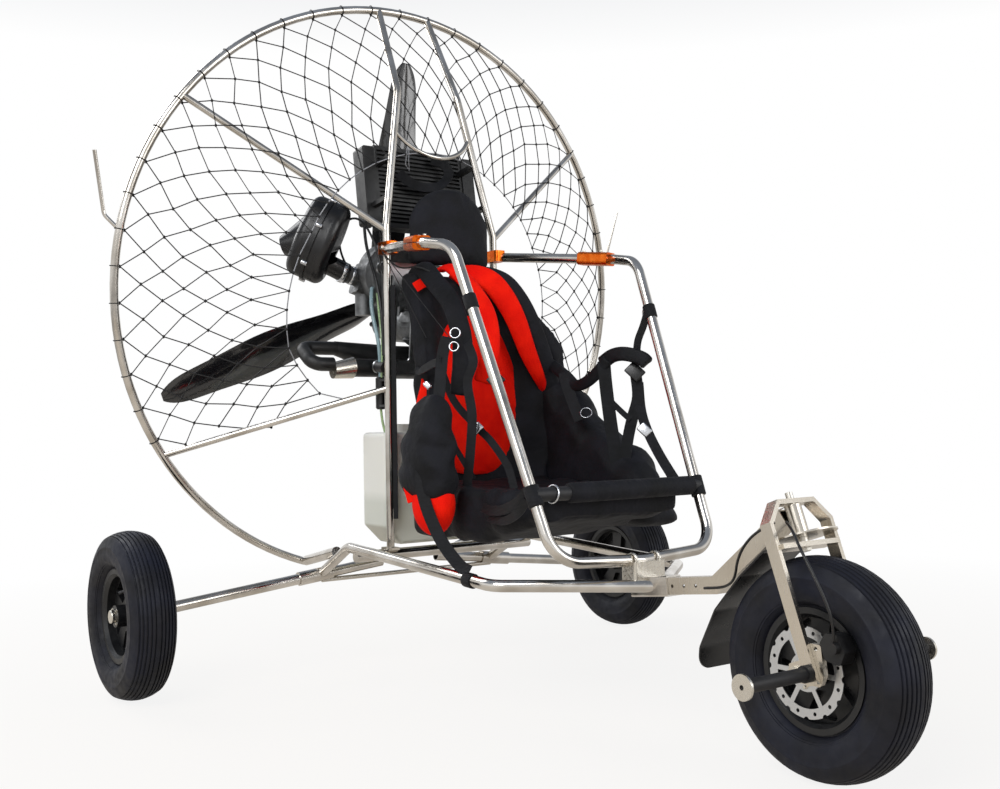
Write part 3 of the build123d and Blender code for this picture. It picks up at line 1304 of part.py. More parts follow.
# Side bags: side, sign, width, and the outline's stations and heights
BAGS = (
    ("right", -1, 80, ((400, 385), (400, 720), (600, 720), (600, 385))),
    ("left", 1, 110, ((270, 385), (270, 725), (345, 820), (410, 778), (600, 570), (640, 500), (640, 385))),
)
for side, sign, bag_width, outline in BAGS:
    with BuildPart() as side_bag:
        with BuildSketch(Plane.XZ.offset(-sign * (HARNESS_HALF + SEAT))):
            with BuildLine():
                Polyline(*[(REAR + station, height) for station, height in outline], close=True)
            make_face()
        extrude(amount=-sign * bag_width)
        fillet(side_bag.edges().filter_by(Axis.Y), PAD_ROUND)
        fillet(side_bag.faces().sort_by(Axis.Y)[0 if sign < 0 else -1].outer_wire().edges(), PAD_ROUND - 4)
    side_bag.part.label = f"side_bag_{side}"
    export_step(side_bag.part, f"parts/side_bag_{side}.step")

pad_foot = BACK_TOP + SEAT
with BuildPart() as head_pad:
    with BuildSketch(Plane(origin=(back_x, 0, 0), x_dir=(0, 1, 0), z_dir=(1, 0, 0))):
        with BuildLine():
            left_shoulder = (HEAD_PAD_HALF, pad_foot + HEAD_PAD_SIDE)
            right_shoulder = (-HEAD_PAD_HALF, pad_foot + HEAD_PAD_SIDE)
            ThreePointArc(right_shoulder, (0, HEAD_PAD_TOP), left_shoulder)
            Polyline(left_shoulder, (HEAD_PAD_HALF, pad_foot), (-HEAD_PAD_HALF, pad_foot), right_shoulder)
        make_face()
    extrude(amount=HEAD_PAD_THICK)
    fillet(head_pad.edges().group_by(Axis.X)[-1], 10)
head_pad.part.label = "head_pad"
export_step(head_pad.part, "parts/head_pad.step")

with BuildPart() as knee_roll:
    share = (LOOP_SHOULDER[2] - ROLL[1]) / (LOOP_SHOULDER[2] - LOOP_FOOT[2])
    roll_half = LOOP_SHOULDER[1] + share * (LOOP_FOOT[1] - LOOP_SHOULDER[1])
    add(tube([at(ROLL[0], -roll_half, ROLL[1]), at(ROLL[0], roll_half, ROLL[1])], ROLL_RADIUS))
    add(front_loop.part, mode=Mode.SUBTRACT)
knee_roll.part.label = "knee_roll"
export_step(knee_roll.part, "parts/knee_roll.step")

# Brake cable, as straight runs joined by arcs: one part on the fork, one on the frame
CABLES = {
    "brake_cable_low": (
        (1509, -82, 268.3), (1516, -90, 300), (1504, -95, 340), (1480, -95, 380),
        (1446, -89, 424), (1408, -62, 450), (1372, -34, 458),
    ),
    "brake_cable_high": (
        (1348, -38, 456), (1318, -50, 440), (1288, -54, 412), (1266, -50, 380),
        (1250, -38, 350), (1226, -26, 330), (1190, -20.5, 318), (1150, -19.8, 314),
    ),
}
ARC_SHARE = 0.45
for name, stations in CABLES.items():
    points = [Vector(at(*station)) for station in stations]
    radii = []
    for before, corner, after in zip(points, points[1:], points[2:]):
        runs = (corner - before, after - corner)
        half_turn = radians(runs[0].get_angle(runs[1]) / 2)
        radii.append(ARC_SHARE * min(run.length for run in runs) / tan(half_turn))
    print(name, "bend radii", [round(radius) for radius in radii])
    with BuildPart() as cable:
        with BuildLine() as route:
            FilletPolyline(*points, radius=radii)
        with BuildSketch(Plane(origin=route.line @ 0, z_dir=route.line % 0)):
            Circle(CABLE_RADIUS)
        sweep(path=route.line)
    cable.part.label = name
    export_step(cable.part, f"parts/{name}.step")
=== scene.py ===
import json
import random
from math import cos, pi, radians, sin

import bpy
from mathutils import Matrix, Vector

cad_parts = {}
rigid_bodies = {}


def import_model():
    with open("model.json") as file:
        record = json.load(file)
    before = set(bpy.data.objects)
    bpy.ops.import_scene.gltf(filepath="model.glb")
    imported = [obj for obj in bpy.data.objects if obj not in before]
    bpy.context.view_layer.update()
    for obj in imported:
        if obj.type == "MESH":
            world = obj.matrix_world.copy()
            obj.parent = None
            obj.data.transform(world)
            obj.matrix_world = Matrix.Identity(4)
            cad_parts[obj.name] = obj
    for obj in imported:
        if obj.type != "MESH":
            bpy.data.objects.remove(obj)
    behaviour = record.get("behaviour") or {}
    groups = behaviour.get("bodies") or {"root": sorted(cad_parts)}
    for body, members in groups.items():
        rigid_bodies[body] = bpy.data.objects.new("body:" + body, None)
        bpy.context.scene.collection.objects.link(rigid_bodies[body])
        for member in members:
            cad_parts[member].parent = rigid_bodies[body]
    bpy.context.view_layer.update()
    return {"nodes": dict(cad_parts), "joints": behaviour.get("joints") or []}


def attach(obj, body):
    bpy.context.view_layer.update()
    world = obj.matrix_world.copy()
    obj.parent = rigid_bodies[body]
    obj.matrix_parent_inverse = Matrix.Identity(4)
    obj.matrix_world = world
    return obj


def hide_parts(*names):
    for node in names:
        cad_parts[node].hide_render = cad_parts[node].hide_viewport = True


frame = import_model()
scene = bpy.context.scene
scene.view_settings.view_transform = "Standard"

# The camera stands ahead and to the right of the trike, at seat height, and looks
# back at it a little upwards. Its lens is close to a normal one, 42 mm on a full frame.
# The angles are in radians.
turn, rise, roll = 0.9491, -0.0215, -0.0165
back = Vector((sin(turn) * cos(rise), -cos(turn) * cos(rise), sin(rise)))
right = (-back).cross(Vector((0, 0, 1))).normalized()
above = right.cross(-back)
across = right * cos(roll) + above * sin(roll)
upright = above * cos(roll) - right * sin(roll)
stand = Vector((2.0631, -1.668, 0.6509))
camera = bpy.data.objects.new("camera", bpy.data.cameras.new("camera"))
camera.data.lens = 41.77
camera.data.sensor_width = 36
camera.data.clip_start = 0.05
camera.data.clip_end = 200
camera.matrix_world = Matrix([[across[i], upright[i], back[i], stand[i]] for i in range(3)] + [[0, 0, 0, 1]])
scene.collection.objects.link(camera)
scene.camera = camera

# The cables and hoses. Brake: black outer cable from the caliper up into the head and
# on along the nose beam. Fuel: clear blue and green hoses between carburettor, filter
# and tank. Throttle and wiring: black cables looped from the engine to the masts.
rear_x = -0.7115


def at(station, y, z):
    """A point given by its station ahead of the rear axle, in metres."""
    return Vector((rear_x + station, y, z))


def linear(code):
    """A colour written as an sRGB hex value, in linear light."""
    parts = [int(code[i:i + 2], 16) / 255 for i in (0, 2, 4)]
    return [c / 12.92 if c <= 0.04045 else ((c + 0.055) / 1.055) ** 2.4 for c in parts] + [1]


def add_node(owner, kind, inputs=None, **settings):
    """A node with its settings, its inputs linked where a socket is given and set otherwise."""
    made = owner.node_tree.nodes.new(kind)
    for key, value in settings.items():
        setattr(made, key, value)
    for key, value in (inputs or {}).items():
        if isinstance(value, bpy.types.NodeSocket):
            owner.node_tree.links.new(value, made.inputs[key])
        else:
            made.inputs[key].default_value = value
    return made


def new_finish(name, colour, metallic=0.0, roughness=0.5):
    """A material with its shader and its place on the piece."""
    material = bpy.data.materials.new(name)
    material.use_nodes = True
    shader = material.node_tree.nodes["Principled BSDF"]
    shader.inputs["Base Color"].default_value = linear(colour)
    shader.inputs["Metallic"].default_value = metallic
    shader.inputs["Roughness"].default_value = roughness
    place = add_node(material, "ShaderNodeTexCoord").outputs["Object"]
    return material, shader, place


def cloud(material, place, size, detail=3.0):
    """A soft random pattern whose patches are about size millimetres across."""
    settings = {"Vector": place, "Scale": 1000 / size, "Detail": detail}
    return add_node(material, "ShaderNodeTexNoise", settings).outputs["Fac"]


def vary(material, socket, fac, low, high):
    """Drives a shader's number between two values by a pattern."""
    spread = add_node(material, "ShaderNodeMapRange", {
        "Value": fac, "From Min": 0.3, "From Max": 0.7, "To Min": low, "To Max": high,
    })
    material.node_tree.links.new(spread.outputs[0], socket)


def tint(material, socket, fac, low, high, low_at=0.35, high_at=0.65):
    """Drives a shader's colour between two hex colours by a pattern."""
    mix = add_node(material, "ShaderNodeValToRGB", {"Fac": fac})
    for element, position, code in zip(mix.color_ramp.elements, (low_at, high_at), (low, high)):
        element.position = position
        element.color = linear(code)
    material.node_tree.links.new(mix.outputs["Color"], socket)


def raise_grain(material, shader, fac, depth, strength=1.0):
    """Bumps the surface by a pattern, depth in millimetres, over any bump that it has."""
    bump = {"Height": fac, "Distance": depth / 1000, "Strength": strength}
    made = add_node(material, "ShaderNodeBump", bump)
    if shader.inputs["Normal"].links:
        under = shader.inputs["Normal"].links[0].from_socket
        material.node_tree.links.new(under, made.inputs["Normal"])
    material.node_tree.links.new(made.outputs["Normal"], shader.inputs["Normal"])


def hose(name, path, radius, material, body="frame", node=None):
    """A cable or hose held at both ends, as one smooth curve."""
    line = bpy.data.curves.new(name, "CURVE")
    line.dimensions = "3D"
    line.resolution_u = 10
    spline = line.splines.new("NURBS")
    spline.points.add(len(path) - 1)
    for point, place in zip(spline.points, path):
        point.co = (*at(*place), 1)
    spline.order_u = 3
    spline.use_endpoint_u = True
    run = bpy.data.objects.new(name, line)
    scene.collection.objects.link(run)
    middle = run.to_mesh()
    run.to_mesh_clear()
    line.bevel_depth = radius
    line.bevel_resolution = 3
    line.use_fill_caps = True
    line.materials.append(material)
    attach(run, body)
    if node:
        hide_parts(node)


cable_black, shader, place = new_finish("black_pvc_cable", "0B0B0C", 0.0, 0.42)
raise_grain(cable_black, shader, cloud(cable_black, place, 2.0), 0.04)
hose_blue, shader, place = new_finish("clear_blue_fuel_hose", "9FBBC4", 0.0, 0.22)
shader.inputs["Transmission Weight"].default_value = 0.35
vary(hose_blue, shader.inputs["Roughness"], cloud(hose_blue, place, 15), 0.16, 0.3)
hose_green, shader, place = new_finish("clear_green_fuel_hose", "B9D6A4", 0.0, 0.22)
shader.inputs["Transmission Weight"].default_value = 0.35
vary(hose_green, shader.inputs["Roughness"], cloud(hose_green, place, 15), 0.16, 0.3)
hose("brake_cable_lower", (
    (1.509, -0.082, 0.2683), (1.516, -0.09, 0.3), (1.504, -0.095, 0.34), (1.48, -0.095, 0.38),
    (1.446, -0.089, 0.424), (1.408, -0.062, 0.45), (1.372, -0.034, 0.458),
), 0.0026, cable_black, "steering", "brake_cable_low")
hose("brake_cable_upper", (
    (1.348, -0.038, 0.456), (1.318, -0.05, 0.44), (1.288, -0.054, 0.412), (1.266, -0.05, 0.38),
    (1.25, -0.038, 0.35), (1.226, -0.026, 0.33), (1.19, -0.0205, 0.318), (1.15, -0.0198, 0.314),
), 0.0026, cable_black, "frame", "brake_cable_high")
hose("fuel_hose_upper", (
    (0.094, -0.158, 1.004), (0.108, -0.17, 0.97), (0.126, -0.174, 0.92), (0.143, -0.171, 0.872),
    (0.15, -0.168, 0.82), (0.15, -0.168, 0.764),
), 0.005, hose_blue)
hose("fuel_hose_return", (
    (0.092, -0.142, 0.996), (0.128, -0.158, 0.94), (0.16, -0.168, 0.87), (0.164, -0.17, 0.81),
    (0.158, -0.17, 0.762),
), 0.0028, hose_green)
hose("fuel_hose_tank", (
    (0.15, -0.168, 0.684), (0.149, -0.165, 0.66), (0.144, -0.158, 0.64), (0.14, -0.15, 0.62),
), 0.0034, hose_green)
hose("throttle_cable", (
    (0.06, -0.172, 1.02), (0.05, -0.2, 1.05), (0.028, -0.215, 1.1), (0.02, -0.215, 1.15),
    (0.05, -0.205, 1.19), (0.1, -0.192, 1.185), (0.145, -0.182, 1.13), (0.182, -0.178, 1.05),
    (0.187, -0.178, 0.98), (0.188, -0.1785, 0.92),
), 0.003, cable_black)
hose("wiring_loom", (
    (0.072, -0.166, 1.176), (0.085, -0.172, 1.13), (0.12, -0.176, 1.07), (0.16, -0.18, 1.01),
    (0.181, -0.18, 0.94), (0.185, -0.179, 0.88), (0.186, -0.178, 0.82),
), 0.0042, cable_black)
hose("stop_switch_lead", (
    (0.198, -0.175, 1.074), (0.225, -0.165, 1.045), (0.262, -0.155, 1.036), (0.30, -0.14, 1.04),
    (0.33, -0.125, 1.022),
), 0.0022, cable_black)

# A white sweep of paper: the world is white round the horizon and greyer overhead,
# and the floor is pale and warm, so polished tubes show a light top and a warm belly.
world = bpy.data.worlds.new("studio")
world.use_nodes = True
scene.world = world
sky = add_node(world, "ShaderNodeTexCoord").outputs["Generated"]
height = add_node(world, "ShaderNodeSeparateXYZ", {"Vector": sky}).outputs["Z"]
ramp = add_node(world, "ShaderNodeValToRGB", {"Fac": height})
ramp.color_ramp.elements[0].position = 0.3
ramp.color_ramp.elements[0].color = linear("FFFFFF")
ramp.color_ramp.elements[1].position = 0.62
ramp.color_ramp.elements[1].color = linear("8E96A3")
# The eye and the shine see the paper, and the weaker room lights the trike
paper = add_node(world, "ShaderNodeBackground", {"Color": ramp.outputs["Color"], "Strength": 1.0})
room = add_node(world, "ShaderNodeBackground", {"Color": ramp.outputs["Color"], "Strength": 0.62})
ray = add_node(world, "ShaderNodeLightPath").outputs
direct = {0: ray["Is Camera Ray"], 1: ray["Is Glossy Ray"]}
seen = add_node(world, "ShaderNodeMath", direct, operation="MAXIMUM")
clear = {0: seen.outputs[0], 1: ray["Is Transmission Ray"]}
seen = add_node(world, "ShaderNodeMath", clear, operation="MAXIMUM")
either = {0: seen.outputs[0], 1: room.outputs[0], 2: paper.outputs[0]}
choice = add_node(world, "ShaderNodeMixShader", either)
world.node_tree.links.new(choice.outputs[0], world.node_tree.nodes["World Output"].inputs["Surface"])

bpy.ops.mesh.primitive_circle_add(vertices=96, radius=30, fill_type="NGON", location=(0, 0, 0))
floor = bpy.context.object
floor.name = "floor"
sweep = bpy.data.materials.new("paper_sweep")
sweep.use_nodes = True
ground = sweep.node_tree.nodes["Principled BSDF"]
ground.inputs["Base Color"].default_value = linear("DBCDB9")
ground.inputs["Roughness"].default_value = 0.9
spot = add_node(sweep, "ShaderNodeTexCoord").outputs["Object"]
reach = add_node(sweep, "ShaderNodeVectorMath", {0: spot}, operation="LENGTH").outputs["Value"]
# The floor brightens outwards until it is as white as the world, and gives the shine
# of polished parts only a share of that glow
GLOW_FROM, GLOW_FULL, GLOW_LEAST, GLOW_IN_SHINE = 0.8, 3.2, 0.86, 0.36
span = {"Value": reach, "From Min": GLOW_FROM, "From Max": GLOW_FULL, "To Min": GLOW_LEAST}
fade = add_node(sweep, "ShaderNodeMapRange", span)
ray = add_node(sweep, "ShaderNodeLightPath").outputs
lit = {0: ray["Is Glossy Ray"], 1: GLOW_IN_SHINE, 2: ray["Is Camera Ray"]}
first = add_node(sweep, "ShaderNodeMath", lit, operation="MULTIPLY_ADD").outputs[0]
share = add_node(sweep, "ShaderNodeMath", {0: fade.outputs[0], 1: first}, operation="MULTIPLY")
glow = add_node(sweep, "ShaderNodeEmission", {"Color": linear("FFFFFF"), "Strength": 1.0})
layers = {0: share.outputs[0], 1: ground.outputs[0], 2: glow.outputs[0]}
blend = add_node(sweep, "ShaderNodeMixShader", layers)
sweep.node_tree.links.new(blend.outputs[0], sweep.node_tree.nodes["Material Output"].inputs["Surface"])
floor.data.materials.append(sweep)

# Two soft boxes, the larger above the camera's left, and a strip behind for the edges
for name, place, aim, size, power in (
    ("key", (1.6, -3.4, 3.4), (0, 0, 0.8), 2.6, 130),
    ("fill", (3.6, 1.6, 2.0), (0, 0, 0.6), 2.0, 45),
    ("strip", (-2.8, -1.2, 2.8), (-0.4, 0, 1.0), 1.6, 40),
):
    lamp = bpy.data.objects.new(name, bpy.data.lights.new(name, "AREA"))
    lamp.data.size = size
    lamp.data.energy = power
    lamp.location = place
    lamp.rotation_euler = (Vector(aim) - Vector(place)).to_track_quat("-Z", "Y").to_euler()
    scene.collection.objects.link(lamp)


def dress(material, *names):
    """Gives CAD nodes their finish."""
    for name in names:
        mesh = frame["nodes"][name].data
        mesh.materials.clear()
        mesh.materials.append(material)


# The tubes: stainless steel, drawn, bent and mechanically polished, then TIG welded.
# The polish leaves fine lines and faint smears, so highlights are sharp but not clean.
stainless, shader, place = new_finish("polished_stainless", "C3BEB6", 1.0, 0.16)
smear = cloud(stainless, place, 28)
vary(stainless, shader.inputs["Roughness"], smear, 0.1, 0.24)
tint(stainless, shader.inputs["Base Color"], cloud(stainless, place, 90, 2.0), "B3ADA4", "D3CFC9")
raise_grain(stainless, shader, cloud(stainless, place, 1.6, 2.0), 0.012)
dress(
    stainless, "side_beams", "axle_arms", "rear_tie", "base_tube", "masts", "handle_bar", "arms",
    "front_loop", "cage_hoop", "cage_spars", "line_guards", "nose_socket",
)

# The fork, nose beam and discs: folded and machined stainless plate, brushed flat
brushed, shader, place = new_finish("brushed_stainless_plate", "C9C2B6", 1.0, 0.24)
lines = add_node(brushed, "ShaderNodeMapping", {"Vector": place, "Scale": (1.0, 1.0, 0.06)})
streak = cloud(brushed, lines.outputs[0], 1.8, 4.0)
vary(brushed, shader.inputs["Roughness"], streak, 0.2, 0.28)
tint(brushed, shader.inputs["Base Color"], cloud(brushed, place, 120, 1.0), "C4BCAF", "CFC8BC")
raise_grain(brushed, shader, streak, 0.005)
dress(brushed, "fork", "nose_beam", "crown_disc", "axle_plates", "silencer_end_cap")

# Zinc-plated steel fasteners: bright, a little yellow, soft at the edges
zinc, shader, place = new_finish("zinc_plate", "CFCBC2", 1.0, 0.28)
vary(zinc, shader.inputs["Roughness"], cloud(zinc, place, 6), 0.2, 0.38)
dress(zinc, "loop_clamps", "head_spindle", "wheel_nuts", "front_axle", "peg_plates")

# Orange anodised aluminium: the dye sits in the oxide, so the metal's shine is orange
orange, shader, place = new_finish("orange_anodised_aluminium", "E2661B", 1.0, 0.3)
vary(orange, shader.inputs["Roughness"], cloud(orange, place, 5), 0.24, 0.38)
tint(orange, shader.inputs["Base Color"], cloud(orange, place, 20), "D4560F", "EE7A2A")
raise_grain(orange, shader, cloud(orange, place, 0.9), 0.01)
dress(orange, "mast_brackets", "collars")

# Turned and milled aluminium: propeller flanges, disc carrier and engine plate
milled, shader, place = new_finish("milled_aluminium", "C7C9CB", 1.0, 0.34)
vary(milled, shader.inputs["Roughness"], cloud(milled, place, 3), 0.28, 0.44)
raise_grain(milled, shader, cloud(milled, place, 1.1), 0.015)
dress(milled, "propeller_hub", "brake_disc", "engine_plate")

# Grey die-cast alloy: matt, faintly grained by the mould, darker where oil has dried
casting, shader, place = new_finish("die_cast_alloy", "6F7173", 0.85, 0.5)
tint(casting, shader.inputs["Base Color"], cloud(casting, place, 45), "4A4B4C", "858789")
vary(casting, shader.inputs["Roughness"], cloud(casting, place, 12), 0.38, 0.62)
raise_grain(casting, shader, cloud(casting, place, 1.4), 0.12)
dress(casting, "engine_block", "gearbox", "carburettor")

# Black heat paint on steel and radiator fins: dull, dusty in patches
heat_paint, shader, place = new_finish("black_heat_paint", "0E0E10", 0.0, 0.42)
tint(heat_paint, shader.inputs["Base Color"], cloud(heat_paint, place, 60), "09090B", "171717")
vary(heat_paint, shader.inputs["Roughness"], cloud(heat_paint, place, 25), 0.36, 0.58)
raise_grain(heat_paint, shader, cloud(heat_paint, place, 1.2), 0.05)
dress(heat_paint, "exhaust", "exhaust_chamber", "silencer", "radiator", "cylinder_head", "caliper")

# Moulded black nylon and ABS: slightly glossy, with a fine spark-eroded grain
moulded, shader, place = new_finish("moulded_black_nylon", "0D0D10", 0.0, 0.3)
vary(moulded, shader.inputs["Roughness"], cloud(moulded, place, 30), 0.24, 0.36)
raise_grain(moulded, shader, cloud(moulded, place, 0.9), 0.05)
dress(moulded, "air_box", "mudguard", "fuel_filter")

# Black rubber on the pegs, the mounts, the roll's core and the valves: matt, greyish
rubber, shader, place = new_finish("black_rubber", "121214", 0.0, 0.55)
tint(rubber, shader.inputs["Base Color"], cloud(rubber, place, 40), "0E0E10", "19191C")
raise_grain(rubber, shader, cloud(rubber, place, 1.5), 0.08)
dress(rubber, "engine_mounts", "foot_pegs", "knee_roll")

# The rims: five-spoke castings in satin black powder coat, with a fine orange peel
powder, shader, place = new_finish("black_powder_coat", "0F1012", 0.0, 0.36)
vary(powder, shader.inputs["Roughness"], cloud(powder, place, 20), 0.34, 0.5)
raise_grain(powder, shader, cloud(powder, place, 2.0), 0.06)
dress(powder, "rear_rim_right", "rear_rim_left", "front_rim")

# The propeller: moulded carbon skins under clear lacquer, so a black body with a
# hard wet shine and the weave only just seen
carbon, shader, place = new_finish("lacquered_carbon", "08080A", 0.0, 0.18)
shader.inputs["Coat Weight"].default_value = 1.0
shader.inputs["Coat Roughness"].default_value = 0.06
twill = add_node(carbon, "ShaderNodeTexChecker", {
    "Vector": place, "Scale": 1000 / 2.2, "Color1": linear("070709"), "Color2": linear("101014"),
})
carbon.node_tree.links.new(twill.outputs["Color"], shader.inputs["Base Color"])
dress(carbon, "propeller")

# The tank: blow-moulded natural polyethylene, milky and half see-through, with
# a slightly darker lower part below a sharp line by height
tank, shader, place = new_finish("natural_polyethylene", "E7E8E2", 0.0, 0.38)
shader.inputs["Subsurface Weight"].default_value = 0.25
shader.inputs["Subsurface Radius"].default_value = (0.012, 0.012, 0.01)
level = add_node(tank, "ShaderNodeSeparateXYZ", {"Vector": place}).outputs["Z"]
tint(tank, shader.inputs["Base Color"], level, "D5D8D0", "EBECE7", 0.44, 0.47)
raise_grain(tank, shader, cloud(tank, place, 6), 0.12)
dress(tank, "fuel_tank")

# The tyres: balloon tyres of black rubber with round ribs and narrow grooves between
# them, moulded in two halves. They stand on the floor and have sidewall rings.
spins = [joint for joint in frame["joints"] if "spin" in joint["name"]]
wheel_centres = {joint["child"]: Vector(joint["pos_m"]) for joint in spins}
TYRE_TOP, TYRE_FALL, TREAD_HALF = 199.6, 12.0, 43.5
GROOVE_HALF, GROOVE_LIP, GROOVE_DEEP = 1.3, 0.6, 3.2
GROOVE_MIDDLES = (6.5, 15.5, 24.5, 33.0, 40.5)
tyre_rubber, shader, place = new_finish("tyre_rubber", "10121B", 0.0, 0.5)
shader.inputs["Specular IOR Level"].default_value = 0.3
tint(tyre_rubber, shader.inputs["Base Color"], cloud(tyre_rubber, place, 80), "0B0C13", "161926")
vary(tyre_rubber, shader.inputs["Roughness"], cloud(tyre_rubber, place, 18), 0.48, 0.7)
raise_grain(tyre_rubber, shader, cloud(tyre_rubber, place, 1.3), 0.07)


def spun(name, section, centre, steps, smooth=32):
    """A ring spun about the axle from a closed section of (along the axle, radius) points in mm."""
    bpy.ops.mesh.primitive_circle_add(vertices=len(section), radius=1, location=(0, 0, 0))
    ring = bpy.context.object
    ring.name = name
    for vertex, (along, radius) in zip(ring.data.vertices, section):
        vertex.co = centre + Vector((0, along / 1000, radius / 1000))
    bpy.ops.object.mode_set(mode="EDIT")
    bpy.ops.mesh.select_all(action="SELECT")
    bpy.ops.mesh.spin(steps=steps, angle=2 * pi, center=centre, axis=(0, 1, 0))
    bpy.ops.mesh.select_all(action="SELECT")
    bpy.ops.mesh.remove_doubles(threshold=0.00001)
    bpy.ops.mesh.normals_make_consistent(inside=False)
    bpy.ops.object.mode_set(mode="OBJECT")
    bpy.ops.object.shade_smooth_by_angle(angle=radians(smooth))
    return ring


half_section = [(0.0, TYRE_TOP)]
groove = (
    (-GROOVE_HALF - GROOVE_LIP, 0), (-GROOVE_HALF, 1), (GROOVE_HALF, 1), (GROOVE_HALF + GROOVE_LIP, 0),
)
for middle in GROOVE_MIDDLES:
    for offset, drop in groove:
        along = middle + offset
        top = TYRE_TOP - TYRE_FALL * (along / TREAD_HALF) ** 2
        half_section.append((along, top - drop * GROOVE_DEEP))
# The shoulder, the sidewall with its rings and the bead down to the rim
half_section += [
    (45.5, 184.5), (49.6, 177), (52.8, 167), (53.2, 166), (54.0, 164.8), (54.1, 162), (53.6, 161),
    (54.3, 150), (53.4, 141), (51.2, 133), (47.5, 126), (46.2, 125.6), (44.8, 122.6), (43.2, 122.4),
    (38.5, 118), (34.0, 115.6), (31.0, 114.2), (31.0, 102.6),
]
section = half_section + [(-along, radius) for along, radius in reversed(half_section[1:])]
for body, node in (
    ("rear_wheel_right", "rear_tyre_right"),
    ("rear_wheel_left", "rear_tyre_left"),
    ("front_wheel", "front_tyre"),
):
    tyre = spun(node + "_ribbed", section, wheel_centres[body], 72)
    tyre.data.materials.append(tyre_rubber)
    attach(tyre, body)
    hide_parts(node)

# The cage net: black braided twine knotted into diamonds and laced round the hoop.
# It runs inwards and forwards over the spars and masts, and its open points are tied
# to one pale cord that goes round the inside from one lower spar to the other.
HOOP_LEAN = radians(6.3)
NET_RADIUS = 0.7695
NET_MESHES = 54
NET_SIDE = 0.061
TWINE = 0.0015
CORD = 0.0015
KNOT = 0.0036
LACE_OUT, LACE_RADIUS, LACE_WIRE = 0.0125, 0.0124, 0.0012
ROW_LEAST, NET_END = 0.03, 0.36
hoop_centre = at(-0.076, 0, 1.008)
hoop_ahead = Vector((cos(HOOP_LEAN), 0, -sin(HOOP_LEAN)))
hoop_up = Vector((sin(HOOP_LEAN), 0, cos(HOOP_LEAN)))


def net_point(angle, radius):
    """A point on the net, by its angle up from the pilot's left and its distance from the middle."""
    near_top = max(0.0, 1 - abs(angle - 90) / 32)
    by_spar = 0.455 * (NET_RADIUS - radius)
    by_mast = 0.655 * (NET_RADIUS - radius) if radius > 0.549 else 0.1446 + 0.311 * (0.549 - radius)
    ahead = by_spar + (by_mast - by_spar) * near_top + 0.016 * min(1, (NET_RADIUS - radius) / 0.05)
    turned = radians(angle)
    spoke = Vector((0, cos(turned), 0)) + hoop_up * sin(turned)
    return hoop_centre + spoke * radius + hoop_ahead * ahead


def net_inside(angle):
    """How near the middle the net's pale cord runs at an angle."""
    return 0.38 + 0.042 * max(0.0, 1 - abs(abs(angle - 90) - 112) / 44)


NET_FROM, NET_TO = -62.5, 242.5


def above_spar(angle, radius):
    """Whether a place on the net lies above the lower spar of its side."""
    out = abs(radius * cos(radians(angle)))
    return radius * sin(radians(angle)) > -0.436 + 0.3375 * (0.648 - out)


step = 360 / NET_MESHES
random.seed(7)
rows = [NET_RADIUS]
while rows[-1] > NET_END:
    half_gap = rows[-1] * radians(step) / 2
    rows.append(rows[-1] - max(ROW_LEAST, (NET_SIDE**2 - half_gap**2) ** 0.5))
places = {}
for row, radius in enumerate(rows):
    count = int((NET_TO - NET_FROM) / (step / 2)) + 1
    for place_in_row in range(row % 2, count, 2):
        angle = NET_FROM + place_in_row * step / 2
        if radius > net_inside(angle) - 0.005 and above_spar(angle, radius):
            places[row, place_in_row] = (angle, radius)
knots, tips = {}, []
for (row, place_in_row), (angle, radius) in places.items():
    below = rows[min(row + 1, len(rows) - 1)]
    inward = (row + 1, place_in_row - 1), (row + 1, place_in_row + 1)
    open_end = inward[0] not in places and inward[1] not in places
    if open_end and above_spar(angle, below):
        knots[row, place_in_row] = net_point(angle, net_inside(angle))
        tips.append((place_in_row, knots[row, place_in_row]))
    else:
        while open_end and above_spar(angle, radius - 0.002):
            radius -= 0.002
        slack = 0 if row == 0 or open_end else 1
        wobble = random.uniform(-0.5, 0.5) * slack, random.uniform(-0.004, 0.004) * slack
        knots[row, place_in_row] = net_point(angle + wobble[0], radius + wobble[1])


def line_mesh(name, runs, radius, material):
    """Straight runs of twine between points, as one mesh on the frame."""
    drawn = bpy.data.curves.new(name, "CURVE")
    drawn.dimensions = "3D"
    drawn.bevel_depth = radius
    drawn.bevel_resolution = 0
    for run in runs:
        spline = drawn.splines.new("POLY")
        spline.points.add(len(run) - 1)
        for point, co in zip(spline.points, run):
            point.co = (*co, 1)
    made = bpy.data.objects.new(name, drawn)
    scene.collection.objects.link(made)
    bpy.ops.object.select_all(action="DESELECT")
    made.select_set(True)
    bpy.context.view_layer.objects.active = made
    bpy.ops.object.convert(target="MESH")
    made = bpy.context.object
    made.data.materials.append(material)
    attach(made, "frame")


braid, shader, place = new_finish("black_braided_twine", "0C0B0D", 0.0, 0.7)
raise_grain(braid, shader, cloud(braid, place, 1.2), 0.2)
pale_cord, shader, place = new_finish("pale_dyneema_cord", "8E9096", 0.0, 0.6)
raise_grain(pale_cord, shader, cloud(pale_cord, place, 1.2), 0.2)
runs = []
for lean in (-1, 1):
    for row, place_in_row in list(knots):
        if (row - 1, place_in_row - lean) in knots:
            continue
        run = []
        while (row, place_in_row) in knots:
            run.append(knots[row, place_in_row])
            row, place_in_row = row + 1, place_in_row + lean
        if len(run) > 1:
            runs.append(run)
line_mesh("net_twine", runs, TWINE, braid)
inner = [co for _, co in sorted(tips, key=lambda tip: tip[0])]
spar_low = [
    at(0.190, side * 0.168, 0.736).lerp(at(-0.12, side * 0.648, 0.574), 0.18) for side in (1, -1)
]
line_mesh("net_inner_cord", [[spar_low[0]] + inner + [spar_low[1]]], CORD, pale_cord)
tie = at(0.165, 0.0, 1.352)
